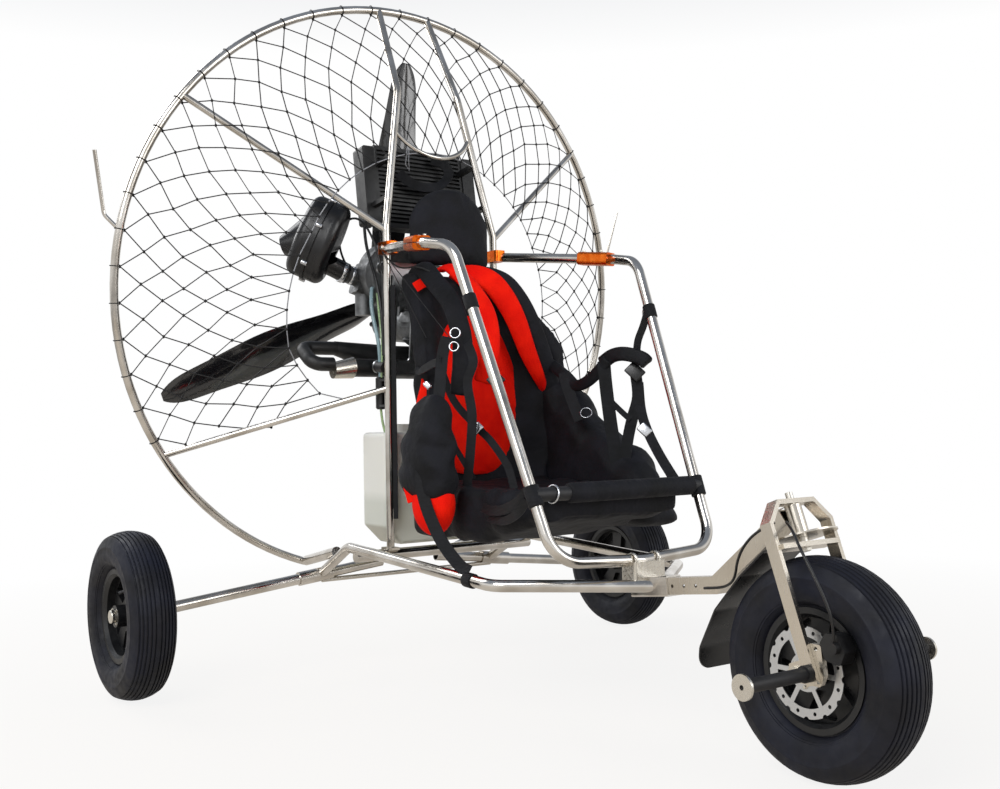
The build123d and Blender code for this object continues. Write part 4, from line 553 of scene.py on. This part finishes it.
line_mesh("net_mast_tie", [[inner[len(inner) // 2], tie, inner[len(inner) // 2 - 1]]], CORD, pale_cord)

for (row, place_in_row), co in knots.items():
    if row == 0:
        spoke = (co - hoop_centre).normalized()
        bpy.ops.mesh.primitive_torus_add(
            location=co + spoke * LACE_OUT, major_radius=LACE_RADIUS, minor_radius=LACE_WIRE,
            major_segments=12, minor_segments=4,
        )
        turned = Vector((0, 0, 1)).rotation_difference(spoke.cross(hoop_ahead))
        bpy.context.object.rotation_euler = turned.to_euler()
    bpy.ops.mesh.primitive_ico_sphere_add(subdivisions=1, radius=KNOT, location=co, scale=(1, 1, 1.4))
ties = [o for o in scene.objects if o.name.startswith(("Icosphere", "Torus"))]
for o in ties:
    o.select_set(True)
bpy.context.view_layer.objects.active = ties[0]
bpy.ops.object.join()
net_knots = bpy.context.object
net_knots.name = "net_knots"
bpy.ops.object.transform_apply(location=True, rotation=True, scale=True)
bpy.ops.object.shade_smooth()
net_knots.data.materials.append(braid)
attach(net_knots, "frame")

# The harness: a cordura back, seat, head pad and side bags over foam, each stuffed by a
# short cloth simulation. The red lining on the back is an oval pad with sewn seams.
cordura, shader, place = new_finish("black_cordura", "0A0B10", 0.0, 0.75)
shader.inputs["Specular IOR Level"].default_value = 0.28
tint(cordura, shader.inputs["Base Color"], cloud(cordura, place, 55), "05060A", "101119")
weave = add_node(cordura, "ShaderNodeTexVoronoi", {"Vector": place, "Scale": 1000 / 1.6}).outputs["Distance"]
raise_grain(cordura, shader, weave, 0.25)
raise_grain(cordura, shader, cloud(cordura, place, 45, 3.0), 9.0, 0.8)

lining, shader, place = new_finish("red_spacer_mesh", "F81606", 0.0, 0.8)
shader.inputs["Specular IOR Level"].default_value = 0.12
tint(lining, shader.inputs["Base Color"], cloud(lining, place, 60), "EA0E02", "FF1E06")
cells = add_node(lining, "ShaderNodeTexVoronoi", {"Vector": place, "Scale": 1000 / 3.0}).outputs["Distance"]
raise_grain(lining, shader, cells, 0.5)
raise_grain(lining, shader, cloud(lining, place, 45), 3.0, 0.5)


def block(name, low, high, cuts=0, bevel=0.02):
    """A box between two corners, its edges rounded and its faces divided."""
    low, high = Vector(low), Vector(high)
    bpy.ops.mesh.primitive_cube_add(size=1, location=(low + high) / 2, scale=high - low)
    piece = bpy.context.object
    piece.name = name
    bpy.ops.object.transform_apply(location=True, rotation=True, scale=True)
    bpy.ops.object.mode_set(mode="EDIT")
    bpy.ops.mesh.select_all(action="SELECT")
    bpy.ops.mesh.bevel(offset=bevel, segments=3, affect="EDGES")
    bpy.ops.mesh.select_all(action="SELECT")
    if cuts:
        bpy.ops.mesh.subdivide(number_cuts=cuts)
    bpy.ops.object.mode_set(mode="OBJECT")
    return piece


def applied(piece, kind, **settings):
    """Adds a modifier with its settings to the active piece and applies it."""
    added = piece.modifiers.new("step", kind)
    for key, value in settings.items():
        setattr(added, key, value)
    bpy.ops.object.modifier_apply(modifier="step")


def stuff(piece, voxel=0.008, pressure=4.0, cap=0.016, frames=14):
    """Fills a closed form like foam in a cover: remesh, cloth under pressure, smoothing."""
    bpy.ops.object.select_all(action="DESELECT")
    piece.select_set(True)
    bpy.context.view_layer.objects.active = piece
    applied(piece, "REMESH", mode="VOXEL", voxel_size=voxel)
    rest = [v.co.copy() for v in piece.data.vertices]
    cloth = piece.modifiers.new("cloth", "CLOTH")
    cloth.settings.quality = 4
    cloth.settings.use_pressure = True
    cloth.settings.uniform_pressure_force = pressure
    cloth.settings.effector_weights.gravity = 0
    cloth.collision_settings.use_collision = False
    for number in range(1, frames + 1):
        scene.frame_set(number)
    bpy.ops.object.modifier_apply(modifier="cloth")
    scene.frame_set(1)
    for vertex, start in zip(piece.data.vertices, rest):
        moved = vertex.co - start
        if moved.length > cap:
            vertex.co = start + moved.normalized() * cap
    applied(piece, "SMOOTH", factor=0.5, iterations=3)
    bpy.ops.object.shade_smooth()
    return piece


def shape(piece, change):
    """Moves each point of a piece by a rule given for its place in the trike."""
    for vertex in piece.data.vertices:
        station = vertex.co - at(0, 0, 0)
        vertex.co = at(*change(station.x, station.y, station.z))


def soft(piece, material, node=None):
    """Finishes a padded piece, which may stand for a CAD node."""
    piece.data.materials.clear()
    piece.data.materials.append(material)
    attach(piece, "frame")
    if node:
        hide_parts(node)


def back_form(x, y, z):
    """The far side opens forwards into a wing, the near side is straight, the middle is hollow."""
    across = y / 0.15
    high = max(0.0, (z - 0.76) / 0.275)
    low = max(0.0, (0.76 - z) / 0.35)
    if across > 0:
        y = across * (0.278 - 0.148 * min(1.0, high) ** 1.3 - 0.07 * low)
        x += 0.11 * across**2 * min(1.0, max(0.0, (1.05 - z) / 0.18))
    else:
        y = across * (0.15 - 0.03 * min(1.0, low + 0.4 * (1 - high)))
        x += 0.05 * across**2 * min(1.0, max(0.0, (1.05 - z) / 0.2))
    fold = 0.005 * sin(z * 52 + across * 2.2) * abs(across)
    hollow = 0.02 * (1 - across**2) if x > 0.26 else 0.0
    return x - hollow + fold, y, z


back_pad = block("harness_back", at(0.206, -0.15, 0.408), at(0.30, 0.15, 1.035), cuts=12)
shape(back_pad, back_form)
soft(stuff(back_pad, voxel=0.008, cap=0.012), cordura, "back_pad")


def oval_form(x, y, z):
    """The lining is an oval pad, narrower at its foot and quilted by sloping seams."""
    slope = (z * 0.8 + y * 0.6) % 0.058
    seam = max(0.0, 1 - abs(slope - 0.029) / 0.004) * (0.6 if z < 0.68 else 0.0)
    foot = max(0.0, min(1.0, (0.74 - z) / 0.18)) ** 1.2
    return x - 0.006 * seam, y * (1.0 + 0.5 * foot) + 0.008, z


bpy.ops.mesh.primitive_uv_sphere_add(segments=64, ring_count=48, radius=1, location=at(0.302, 0.012, 0.715))
red_back = bpy.context.object
red_back.name = "back_lining"
red_back.scale = (0.034, 0.16, 0.205)
bpy.ops.object.transform_apply(location=True, rotation=True, scale=True)
shape(red_back, oval_form)
bpy.ops.object.shade_smooth()
soft(red_back, lining)


def seat_form(x, y, z):
    """The seat sags between the back and the roll, and its belly rises to the front."""
    along = max(0.0, min(1.0, (x - 0.31) / 0.555))
    belly = 0.07 * max(0, along - 0.5) / 0.5
    sag = 0.03 * sin(pi * along) * (1 - (y / 0.21) ** 2)
    wrinkle = 0.006 * sin(x * 70 + y * 30) * (abs(y) / 0.2) + 0.004 * sin(x * 130 - y * 45)
    side = 1 + 0.05 * sin(x * 38)
    return x, y * side, z + (belly + 0.5 * wrinkle if z < 0.43 else wrinkle - sag)


seat = block("harness_seat", at(0.318, -0.192, 0.38), at(0.868, 0.198, 0.496), cuts=14)
shape(seat, seat_form)
soft(stuff(seat, voxel=0.008, cap=0.012), cordura, "seat")


def head_form(x, y, z):
    """The head pad is a dome, full in the middle and thin round its edge."""
    reach = max(0.0, 0.124**2 - max(0.0, z - 1.134) ** 2) ** 0.5
    bulge = 0.016 * (1 - (y / 0.12) ** 2) if x > 0.23 else 0
    return x + bulge, y / 0.12 * min(reach, 0.12), z


head_pad = block("head_pad_cover", at(0.204, -0.12, 1.055), at(0.242, 0.12, 1.254), 10, 0.012)
shape(head_pad, head_form)
soft(stuff(head_pad, voxel=0.006, cap=0.008), cordura, "head_pad")


def bag_right_form(x, y, z):
    """The near bag is a teardrop: narrow where it hangs, full at its middle, tucked in at its foot."""
    high = max(0.0, min(1.0, (z - 0.47) / 0.23))
    full = 0.3 + 0.75 * sin(pi * min(1.0, 0.3 + 0.67 * high)) ** 0.8
    fold = 0.004 * sin(z * 80 + x * 30)
    return 0.512 + (x - 0.512) * full, -0.208 + (y + 0.208) * (0.5 + 0.5 * full) + fold, z


bag = block("side_bag_right_cover", at(0.425, -0.288, 0.465), at(0.588, -0.208, 0.712), 10, 0.03)
shape(bag, bag_right_form)
soft(stuff(bag, voxel=0.007, cap=0.012), cordura, "side_bag_right")


def bag_foot_form(x, y, z):
    """The red foot of the near bag, sagging into a point."""
    return x, y, z - 0.014 * (1 - ((x - 0.525) / 0.07) ** 2)


bpy.ops.mesh.primitive_uv_sphere_add(segments=32, ring_count=20, radius=1, location=at(0.522, -0.246, 0.47))
bag_foot = bpy.context.object
bag_foot.name = "side_bag_right_foot"
bag_foot.scale = (0.064, 0.043, 0.068)
bpy.ops.object.transform_apply(location=True, rotation=True, scale=True)
shape(bag_foot, bag_foot_form)
bpy.ops.object.shade_smooth()
soft(bag_foot, lining)

# The far bag's upper edge, as station and height
FAR_TOP = ((0.26, 0.70), (0.345, 0.79), (0.41, 0.735), (0.54, 0.635), (0.63, 0.585), (0.73, 0.505))


def bag_left_form(x, y, z):
    """The far bag slopes down to the front in soft folds and bulges out."""
    for (x0, z0), (x1, z1) in zip(FAR_TOP, FAR_TOP[1:]):
        if x0 <= x <= x1:
            top = z0 + (z1 - z0) * (x - x0) / (x1 - x0)
    share = (z - 0.39) / 0.29
    fold = 0.008 * sin(x * 58 + z * 12) + 0.005 * sin(x * 24 - z * 50)
    out = 0.208 + (y - 0.208) * (0.72 + 0.45 * (1 - share))
    return x, out + fold * min(1, (y - 0.2) / 0.05), 0.39 + share * (top - 0.39)


bag = block("side_bag_left_cover", at(0.265, 0.208, 0.39), at(0.725, 0.33, 0.68), 12, 0.03)
shape(bag, bag_left_form)
soft(stuff(bag, voxel=0.008, cap=0.012), cordura, "side_bag_left")

# Straps: polyamide webbing and padded shoulder straps with a red inner face. The
# shoulder straps come over the back's top, and the other webbing hangs between them,
# the bags and the front loop. Each run is a flat band through the points given for it.
# One black band, along the near mast, is no strap: it is painted shade for the mast's shadow side.
webbing_black, shader, place = new_finish("black_polyamide_webbing", "0C0D12", 0.0, 0.6)
shader.inputs["Specular IOR Level"].default_value = 0.25
ribs = add_node(webbing_black, "ShaderNodeTexWave", {"Vector": place, "Scale": 1000 / 9}, bands_direction="Z")
raise_grain(webbing_black, shader, ribs.outputs["Fac"], 0.5)
tint(webbing_black, shader.inputs["Base Color"], cloud(webbing_black, place, 30), "08090C", "121318")


def through(points, count):
    """Points on a smooth line through the given ones, so many to each stretch."""
    points = [Vector(p) for p in points]
    line = []
    for i in range(len(points) - 1):
        here, there = points[i], points[i + 1]
        before = points[i - 1] if i else here * 2 - there
        after = points[i + 2] if i + 2 < len(points) else there * 2 - here
        for k in range(count):
            t = k / count
            bend = (2 * before - 5 * here + 4 * there - after) * t**2
            bow = bend + (3 * here - before - 3 * there + after) * t**3
            line.append(here + (there - before) * t / 2 + bow / 2)
    return line + [points[-1]]


def band(name, path, face, width, thick, material, padded=False, point=0.0):
    """A strap along a path. face is its normal at both ends, and point narrows its end."""
    line = through([at(*p) for p in path], 6)
    last = len(line) - 1
    bpy.ops.mesh.primitive_grid_add(x_subdivisions=last, y_subdivisions=4 if padded else 2, size=1)
    strap = bpy.context.object
    strap.name = name
    start, end = (Vector(f).normalized() for f in face)
    for vertex in strap.data.vertices:
        share, out = vertex.co.x + 0.5, vertex.co.y
        i = round(share * last)
        along = (line[min(i + 1, last)] - line[max(i - 1, 0)]).normalized()
        side = along.cross(start.lerp(end, share)).normalized()
        normal = side.cross(along).normalized()
        crown = normal * (0.25 - out**2) * width * (0.5 if padded else 0.0)
        vertex.co = line[i] + side * out * width * (1 - point * share**3) + crown
    applied(strap, "SOLIDIFY", thickness=thick, offset=0)
    if padded:
        applied(strap, "SUBSURF", levels=1, render_levels=1)
    bpy.ops.object.mode_set(mode="EDIT")
    bpy.ops.mesh.select_all(action="SELECT")
    bpy.ops.mesh.normals_make_consistent(inside=False)
    bpy.ops.object.mode_set(mode="OBJECT")
    bpy.ops.object.shade_smooth_by_angle(angle=radians(50))
    strap.data.materials.append(material)
    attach(strap, "frame")


to_camera = (0.7, -0.7, 0.15)
band("shoulder_strap_right", (
    (0.24, -0.12, 1.03), (0.296, -0.12, 1.03), (0.347, -0.12, 0.993), (0.415, -0.12, 0.938),
    (0.451, -0.12, 0.877), (0.464, -0.12, 0.83), (0.468, -0.125, 0.77), (0.462, -0.13, 0.71),
), ((0.2, -0.7, 0.7), (0.8, -0.6, 0)), 0.05, 0.014, cordura, padded=True)
band("shoulder_strap_right_lining", (
    (0.262, -0.06, 1.03), (0.319, -0.06, 1.036), (0.365, -0.06, 1.013), (0.429, -0.06, 0.963),
    (0.475, -0.06, 0.913), (0.497, -0.062, 0.858), (0.498, -0.066, 0.80), (0.48, -0.075, 0.74),
), ((0.5, -0.2, 0.85), (0.8, -0.4, 0.2)), 0.046, 0.012, lining, padded=True)
band("shoulder_strap_left_lining", (
    (0.255, -0.01, 1.022), (0.31, 0.012, 1.024), (0.345, 0.045, 1.005), (0.36, 0.08, 0.962),
    (0.37, 0.11, 0.905), (0.375, 0.142, 0.825), (0.37, 0.178, 0.765), (0.357, 0.208, 0.73),
), ((0.5, -0.5, 0.7), (0.75, -0.65, 0)), 0.062, 0.02, lining, padded=True, point=0.9)
band("shoulder_strap_left", (
    (0.25, 0.02, 1.03), (0.31, 0.048, 1.03), (0.345, 0.088, 1.01), (0.362, 0.122, 0.965),
    (0.375, 0.15, 0.905), (0.382, 0.18, 0.825), (0.376, 0.207, 0.76), (0.37, 0.225, 0.715),
), ((0.5, -0.3, 0.8), (0.8, -0.5, 0)), 0.05, 0.014, cordura, padded=True)

# Name, width, thickness, whether it is padded, and the points it runs through
STRAPS = (
    ("webbing_near", 0.028, 0.003, False, (
        (0.456, -0.16, 0.85), (0.458, -0.175, 0.8), (0.497, -0.212, 0.7), (0.53, -0.252, 0.62),
        (0.54, -0.288, 0.54), (0.555, -0.29, 0.47), (0.6, -0.28, 0.39), (0.66, -0.272, 0.338),
        (0.7, -0.271, 0.325),
    )),
    ("webbing_near_inner", 0.022, 0.003, False, (
        (0.476, -0.117, 0.84), (0.515, -0.125, 0.789), (0.504, -0.135, 0.739), (0.54, -0.148, 0.662),
        (0.548, -0.16, 0.577), (0.54, -0.165, 0.498),
    )),
    ("webbing_cross", 0.014, 0.002, False, (
        (0.352, -0.14, 0.7), (0.353, -0.11, 0.64), (0.362, -0.07, 0.57), (0.4, -0.05, 0.505),
    )),
    ("chest_strap", 0.018, 0.002, False, (
        (0.355, -0.12, 0.8), (0.42, -0.12, 0.7), (0.5, -0.105, 0.632), (0.547, -0.1, 0.6),
        (0.61, -0.1, 0.545), (0.65, -0.11, 0.492),
    )),
    ("far_riser_pad", 0.03, 0.012, True, (
        (0.36, 0.215, 0.8), (0.4, 0.21, 0.785), (0.455, 0.205, 0.757), (0.5, 0.2, 0.733),
        (0.545, 0.2, 0.742), (0.585, 0.205, 0.768), (0.612, 0.21, 0.795),
    )),
    ("far_hanger", 0.018, 0.003, False, (
        (0.7, 0.262, 0.905), (0.692, 0.255, 0.871), (0.678, 0.25, 0.837), (0.672, 0.25, 0.801),
        (0.673, 0.25, 0.775),
    )),
    ("far_leg_pad", 0.034, 0.02, True, (
        (0.585, 0.215, 0.785), (0.62, 0.22, 0.802), (0.66, 0.225, 0.804), (0.7, 0.24, 0.792),
        (0.716, 0.245, 0.778),
    )),
    ("far_webbing_rear", 0.032, 0.003, False, (
        (0.602, 0.205, 0.79), (0.607, 0.205, 0.74), (0.617, 0.207, 0.66), (0.628, 0.21, 0.585),
        (0.634, 0.212, 0.54),
    )),
    ("far_webbing_middle", 0.028, 0.003, False, (
        (0.672, 0.245, 0.765), (0.679, 0.245, 0.701), (0.664, 0.24, 0.65), (0.652, 0.235, 0.6),
        (0.646, 0.225, 0.53),
    )),
    ("far_webbing_front", 0.024, 0.003, False, (
        (0.677, 0.25, 0.735), (0.684, 0.25, 0.67), (0.704, 0.25, 0.62), (0.742, 0.25, 0.565),
        (0.79, 0.245, 0.515), (0.83, 0.235, 0.485),
    )),
    ("far_webbing_slant", 0.014, 0.002, False, (
        (0.607, 0.21, 0.7), (0.64, 0.222, 0.668), (0.662, 0.235, 0.645),
    )),
    ("far_loose_end", 0.028, 0.002, False, (
        (0.455, 0.197, 0.768), (0.474, 0.187, 0.742), (0.505, 0.18, 0.698), (0.538, 0.178, 0.645),
    )),
    ("roll_strap_upper", 0.022, 0.003, False, (
        (0.878, -0.243, 0.505), (0.83, -0.235, 0.478), (0.76, -0.222, 0.458), (0.69, -0.205, 0.452),
        (0.64, -0.192, 0.455),
    )),
    ("roll_strap_lower", 0.018, 0.003, False, (
        (0.874, -0.243, 0.484), (0.83, -0.235, 0.455), (0.77, -0.222, 0.436), (0.71, -0.205, 0.432),
        (0.66, -0.19, 0.434),
    )),
    ("radiator_strap", 0.026, 0.003, False, (
        (0.097, -0.072, 1.318), (0.118, -0.055, 1.293), (0.128, -0.02, 1.28), (0.13, 0.02, 1.283),
        (0.126, 0.055, 1.301), (0.118, 0.074, 1.332), (0.108, 0.06, 1.356), (0.097, 0.03, 1.364),
    )),
    # Painted shade: a thin band in the webbing's black down the near mast's shadow side
    ("mast_painted_shade_strip", 0.012, 0.003, False, (
        (0.206, -0.1605, 1.0), (0.207, -0.161, 0.83), (0.207, -0.161, 0.62), (0.206, -0.1605, 0.402),
    )),
    ("back_hip_strap", 0.02, 0.003, False, (
        (0.285, -0.135, 0.79), (0.32, -0.155, 0.775), (0.37, -0.172, 0.777), (0.42, -0.18, 0.786),
        (0.462, -0.181, 0.792),
    )),
    ("bag_trim_near", 0.018, 0.004, False, (
        (0.462, -0.262, 0.612), (0.454, -0.272, 0.575), (0.456, -0.28, 0.535), (0.466, -0.282, 0.5),
        (0.485, -0.282, 0.465),
    )),
)
for name, width, thick, padded, path in STRAPS:
    finish = lining if name == "bag_trim_near" else webbing_black
    band(name, path, (to_camera, to_camera), width, thick, finish, padded)

# A patch of lining shows where the near strap leaves the back, and a thin pale loop of
# cord hangs from the radiator's top
band("strap_root_lining", (
    (0.298, -0.15, 0.984), (0.308, -0.132, 0.996), (0.315, -0.105, 1.003),
), (to_camera, to_camera), 0.026, 0.004, lining)
loop = [
    (0.106, -0.05, 1.392), (0.125, -0.064, 1.36), (0.128, -0.07, 1.335), (0.122, -0.054, 1.32),
    (0.122, -0.056, 1.35), (0.106, -0.044, 1.39),
]
line_mesh("radiator_cord_loop", [[at(*p) for p in loop]], 0.0016, pale_cord)

# Two thin dark stays run straight from the near mast bracket down towards the near straps
for number, low_end in enumerate(((0.466, -0.158, 0.847), (0.345, -0.148, 0.856))):
    line_mesh(f"harness_stay_{number}", [[at(0.2, -0.187, 1.086), at(*low_end)]], 0.0014, braid)

# Hardware: side-release and ladder buckles, bent wire rings and wraps of hook and loop.
# The buckles are plain rounded plates, without their slots and bars.
steel, shader, place = new_finish("bright_steel_wire", "C9CBCF", 1.0, 0.2)
vary(steel, shader.inputs["Roughness"], cloud(steel, place, 8), 0.14, 0.3)
plastic, shader, place = new_finish("black_acetal", "0C0C0E", 0.0, 0.3)
vary(plastic, shader.inputs["Roughness"], cloud(plastic, place, 8), 0.24, 0.4)


def turned_to(piece, direction, place):
    """Turns a piece made at the origin so that its Z points along a direction, and sets it down."""
    turn = Vector((0, 0, 1)).rotation_difference(Vector(direction).normalized())
    piece.rotation_euler = turn.to_euler()
    piece.location = place
    bpy.ops.object.transform_apply(location=True, rotation=True, scale=True)
    return piece


def fit_on(piece, name, material, body="frame"):
    """Names a piece of hardware and fixes it to a body."""
    piece.name = name
    piece.data.materials.append(material)
    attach(piece, body)


def ring(name, place, facing, radius, wire, material=steel):
    """A closed wire ring."""
    bpy.ops.mesh.primitive_torus_add(
        major_radius=radius, minor_radius=wire, major_segments=32, minor_segments=10,
    )
    made = turned_to(bpy.context.object, facing, at(*place))
    bpy.ops.object.shade_smooth()
    fit_on(made, name, material)


def sleeve(
    name, place, axis, radius, length, material, body="frame", sides=32, edge=0.002,
):
    """A short round band or cap about an axis, its rims rounded."""
    bpy.ops.mesh.primitive_cylinder_add(vertices=sides, radius=radius, depth=length)
    made = turned_to(bpy.context.object, axis, at(*place))
    applied(made, "BEVEL", width=edge, segments=3, limit_method="ANGLE")
    bpy.ops.object.shade_smooth_by_angle(angle=radians(35))
    fit_on(made, name, material, body)


def buckle(name, place, facing, width, height, material):
    """A buckle, as a plate with rounded edges."""
    bpy.ops.mesh.primitive_cube_add(size=1, scale=(width, height, 0.007))
    made = bpy.context.object
    bpy.ops.object.transform_apply(location=True, rotation=True, scale=True)
    bpy.ops.object.mode_set(mode="EDIT")
    bpy.ops.mesh.select_all(action="SELECT")
    bpy.ops.mesh.bevel(offset=0.0028, segments=3, affect="EDGES")
    bpy.ops.object.mode_set(mode="OBJECT")
    turned_to(made, facing, at(*place))
    bpy.ops.object.shade_smooth_by_angle(angle=radians(35))
    fit_on(made, name, material)


ring("near_ring_upper", (0.477, -0.15, 0.858), to_camera, 0.012, 0.002)
ring("near_ring_lower", (0.474, -0.152, 0.826), to_camera, 0.011, 0.002)
ring("far_loose_ring", (0.553, 0.186, 0.664), (0.6, -0.6, 0.5), 0.014, 0.0012)
ring("roll_ring", (0.885, -0.185, 0.495), (0.1, -1, 0.2), 0.0185, 0.0022)
buckle("far_release_buckle", (0.678, 0.238, 0.762), to_camera, 0.042, 0.034, plastic)
buckle("far_ladder_buckle", (0.703, 0.243, 0.62), to_camera, 0.032, 0.024, steel)
buckle("chest_ladder_buckle", (0.505, -0.112, 0.63), to_camera, 0.022, 0.03, steel)
buckle("hip_release_buckle", (0.535, -0.075, 0.745), to_camera, 0.034, 0.034, plastic)
buckle("near_ladder_buckle", (0.43, -0.2, 0.735), to_camera, 0.02, 0.014, steel)
for side, word in ((-1, "near"), (1, "far")):
    down = (283, -47 * side, -675)
    sleeve(f"loop_wrap_{word}", (0.7095, side * 0.2619, 0.905), down, 0.0152, 0.034, webbing_black)
    ring(f"loop_ring_{word}", (0.693, side * 0.2605, 0.903), (0.3, 1, 0.1), 0.0115, 0.0016)
    sleeve(f"roll_wrap_{word}", (0.8835, side * 0.233, 0.492), down, 0.0168, 0.045, webbing_black)
sleeve("beam_wrap_near", (0.702, -0.27, 0.3065), (1, 0, -0.05), 0.0162, 0.03, webbing_black)

# The roll across the loop: foam in a black cover, pulled over the bar
bpy.ops.mesh.primitive_cylinder_add(
    vertices=32, radius=0.0215, depth=0.36, location=at(0.885, 0.035, 0.495), rotation=(pi / 2, 0, 0),
)
roll = bpy.context.object
roll.name = "knee_roll_sleeve"
bpy.ops.object.transform_apply(location=True, rotation=True, scale=True)
applied(roll, "BEVEL", width=0.008, segments=4, limit_method="ANGLE")
bpy.ops.object.shade_smooth_by_angle(angle=radians(35))
soft(roll, cordura)

# Engine trim: hose clips on the intake and clips round the air box's seam, of bright
# steel, then the zinc-plated bolts of the collars, mast brackets, brake disc and hubs
throat_end = Vector((0.0312, -0.1986, 1.0459))
throat_way = Vector((-0.08, -0.954, 0.287))
sleeve("intake_clip_outer", throat_end + throat_way * 0.014, throat_way, 0.0286, 0.012, steel)
sleeve("intake_clip_inner", throat_end - throat_way * 0.014, throat_way, 0.0252, 0.009, steel)
seam_centre, seam_way = Vector((0.034, -0.282, 1.13)), (0.53, 0.74, -0.416)
air_up, air_side = Vector((0.242, 0.339, 0.909)), Vector((0.8137, -0.5825, 0.0006))
SEAM_HIGH, SEAM_WIDE = 0.1135, 0.068
for number, angle in enumerate((20, 75, 130, 190, 250, 310)):
    turned = radians(angle)
    spot_on = seam_centre + air_up * SEAM_HIGH * cos(turned) + air_side * SEAM_WIDE * sin(turned)
    sleeve(f"air_box_clip_{number}", spot_on, seam_way, 0.006, 0.017, steel, sides=12)


def bolt(place, direction, radius, body="frame", height=0.004):
    """A hexagon head on a washer, standing on the face at a place."""
    base, way = Vector(place), Vector(direction).normalized()
    sleeve("washer", base + way * 0.0006, way, radius * 1.35, 0.0016, zinc, body, 24, 0.0003)
    sleeve("bolt_head", base + way * (height / 2 + 0.001), way, radius, height, zinc, body, 6, 0.0006)


arm_way = Vector((0.314, 0.101, -0.036)).normalized()
AXLE_HIGH, DISC_CIRCLE, HUB_CIRCLE = 0.2, 0.0255, 0.021
for side in (-1, 1):
    way = Vector((arm_way.x, arm_way.y * side, arm_way.z))
    top = Vector((0, 0, 1)) - way * way.z
    for shift in (-0.026, 0.026):
        on_axis = Vector((0.504, side * 0.269, 1.059)) + way * shift
        bolt(on_axis + top.normalized() * 0.0165 + Vector((0, side * -0.013, 0)), top, 0.004)
    bolt((0.199, side * 0.1855, 1.095), (0, side, 0), 0.005)
for angle in range(30, 390, 60):
    turned = radians(angle)
    place = (1.423 + DISC_CIRCLE * cos(turned), -0.0523, AXLE_HIGH + DISC_CIRCLE * sin(turned))
    bolt(place, (0, -1, 0), 0.0034, "front_wheel")
for side, body in ((-1, "rear_wheel_right"), (1, "rear_wheel_left")):
    for angle in range(45, 405, 90):
        turned = radians(angle)
        out = side * (0.774 + 0.037)
        place = (HUB_CIRCLE * cos(turned), out, AXLE_HIGH + HUB_CIRCLE * sin(turned))
        bolt(place, (0, side, 0), 0.0028, body, 0.003)

# Dark discs: a thin black disc behind each rim's windows, which look dark in the
# photograph, to make them dark. No liner is seen there, so these are guessed.
for body, centre in wheel_centres.items():
    if body != "propeller":
        hub = (centre.x - rear_x, centre.y + 0.004, centre.z)
        sleeve(f"rim_dark_disc_{body}", hub, (0, 1, 0), 0.096, 0.003, moulded, body, 64, 0.0008)

# Valves: short rubber stems leaning out between two spokes of each rim. Their places
# are guessed.
for body, centre in wheel_centres.items():
    side = 1 if body == "rear_wheel_left" else -1
    if body != "propeller":
        stem = Vector((centre.x - rear_x + 0.058, centre.y + side * 0.031, centre.z + 0.066))
        way = (-0.35, side, -0.4)
        sleeve(f"valve_{body}", stem, way, 0.0042, 0.03, rubber, body, 16, 0.001)
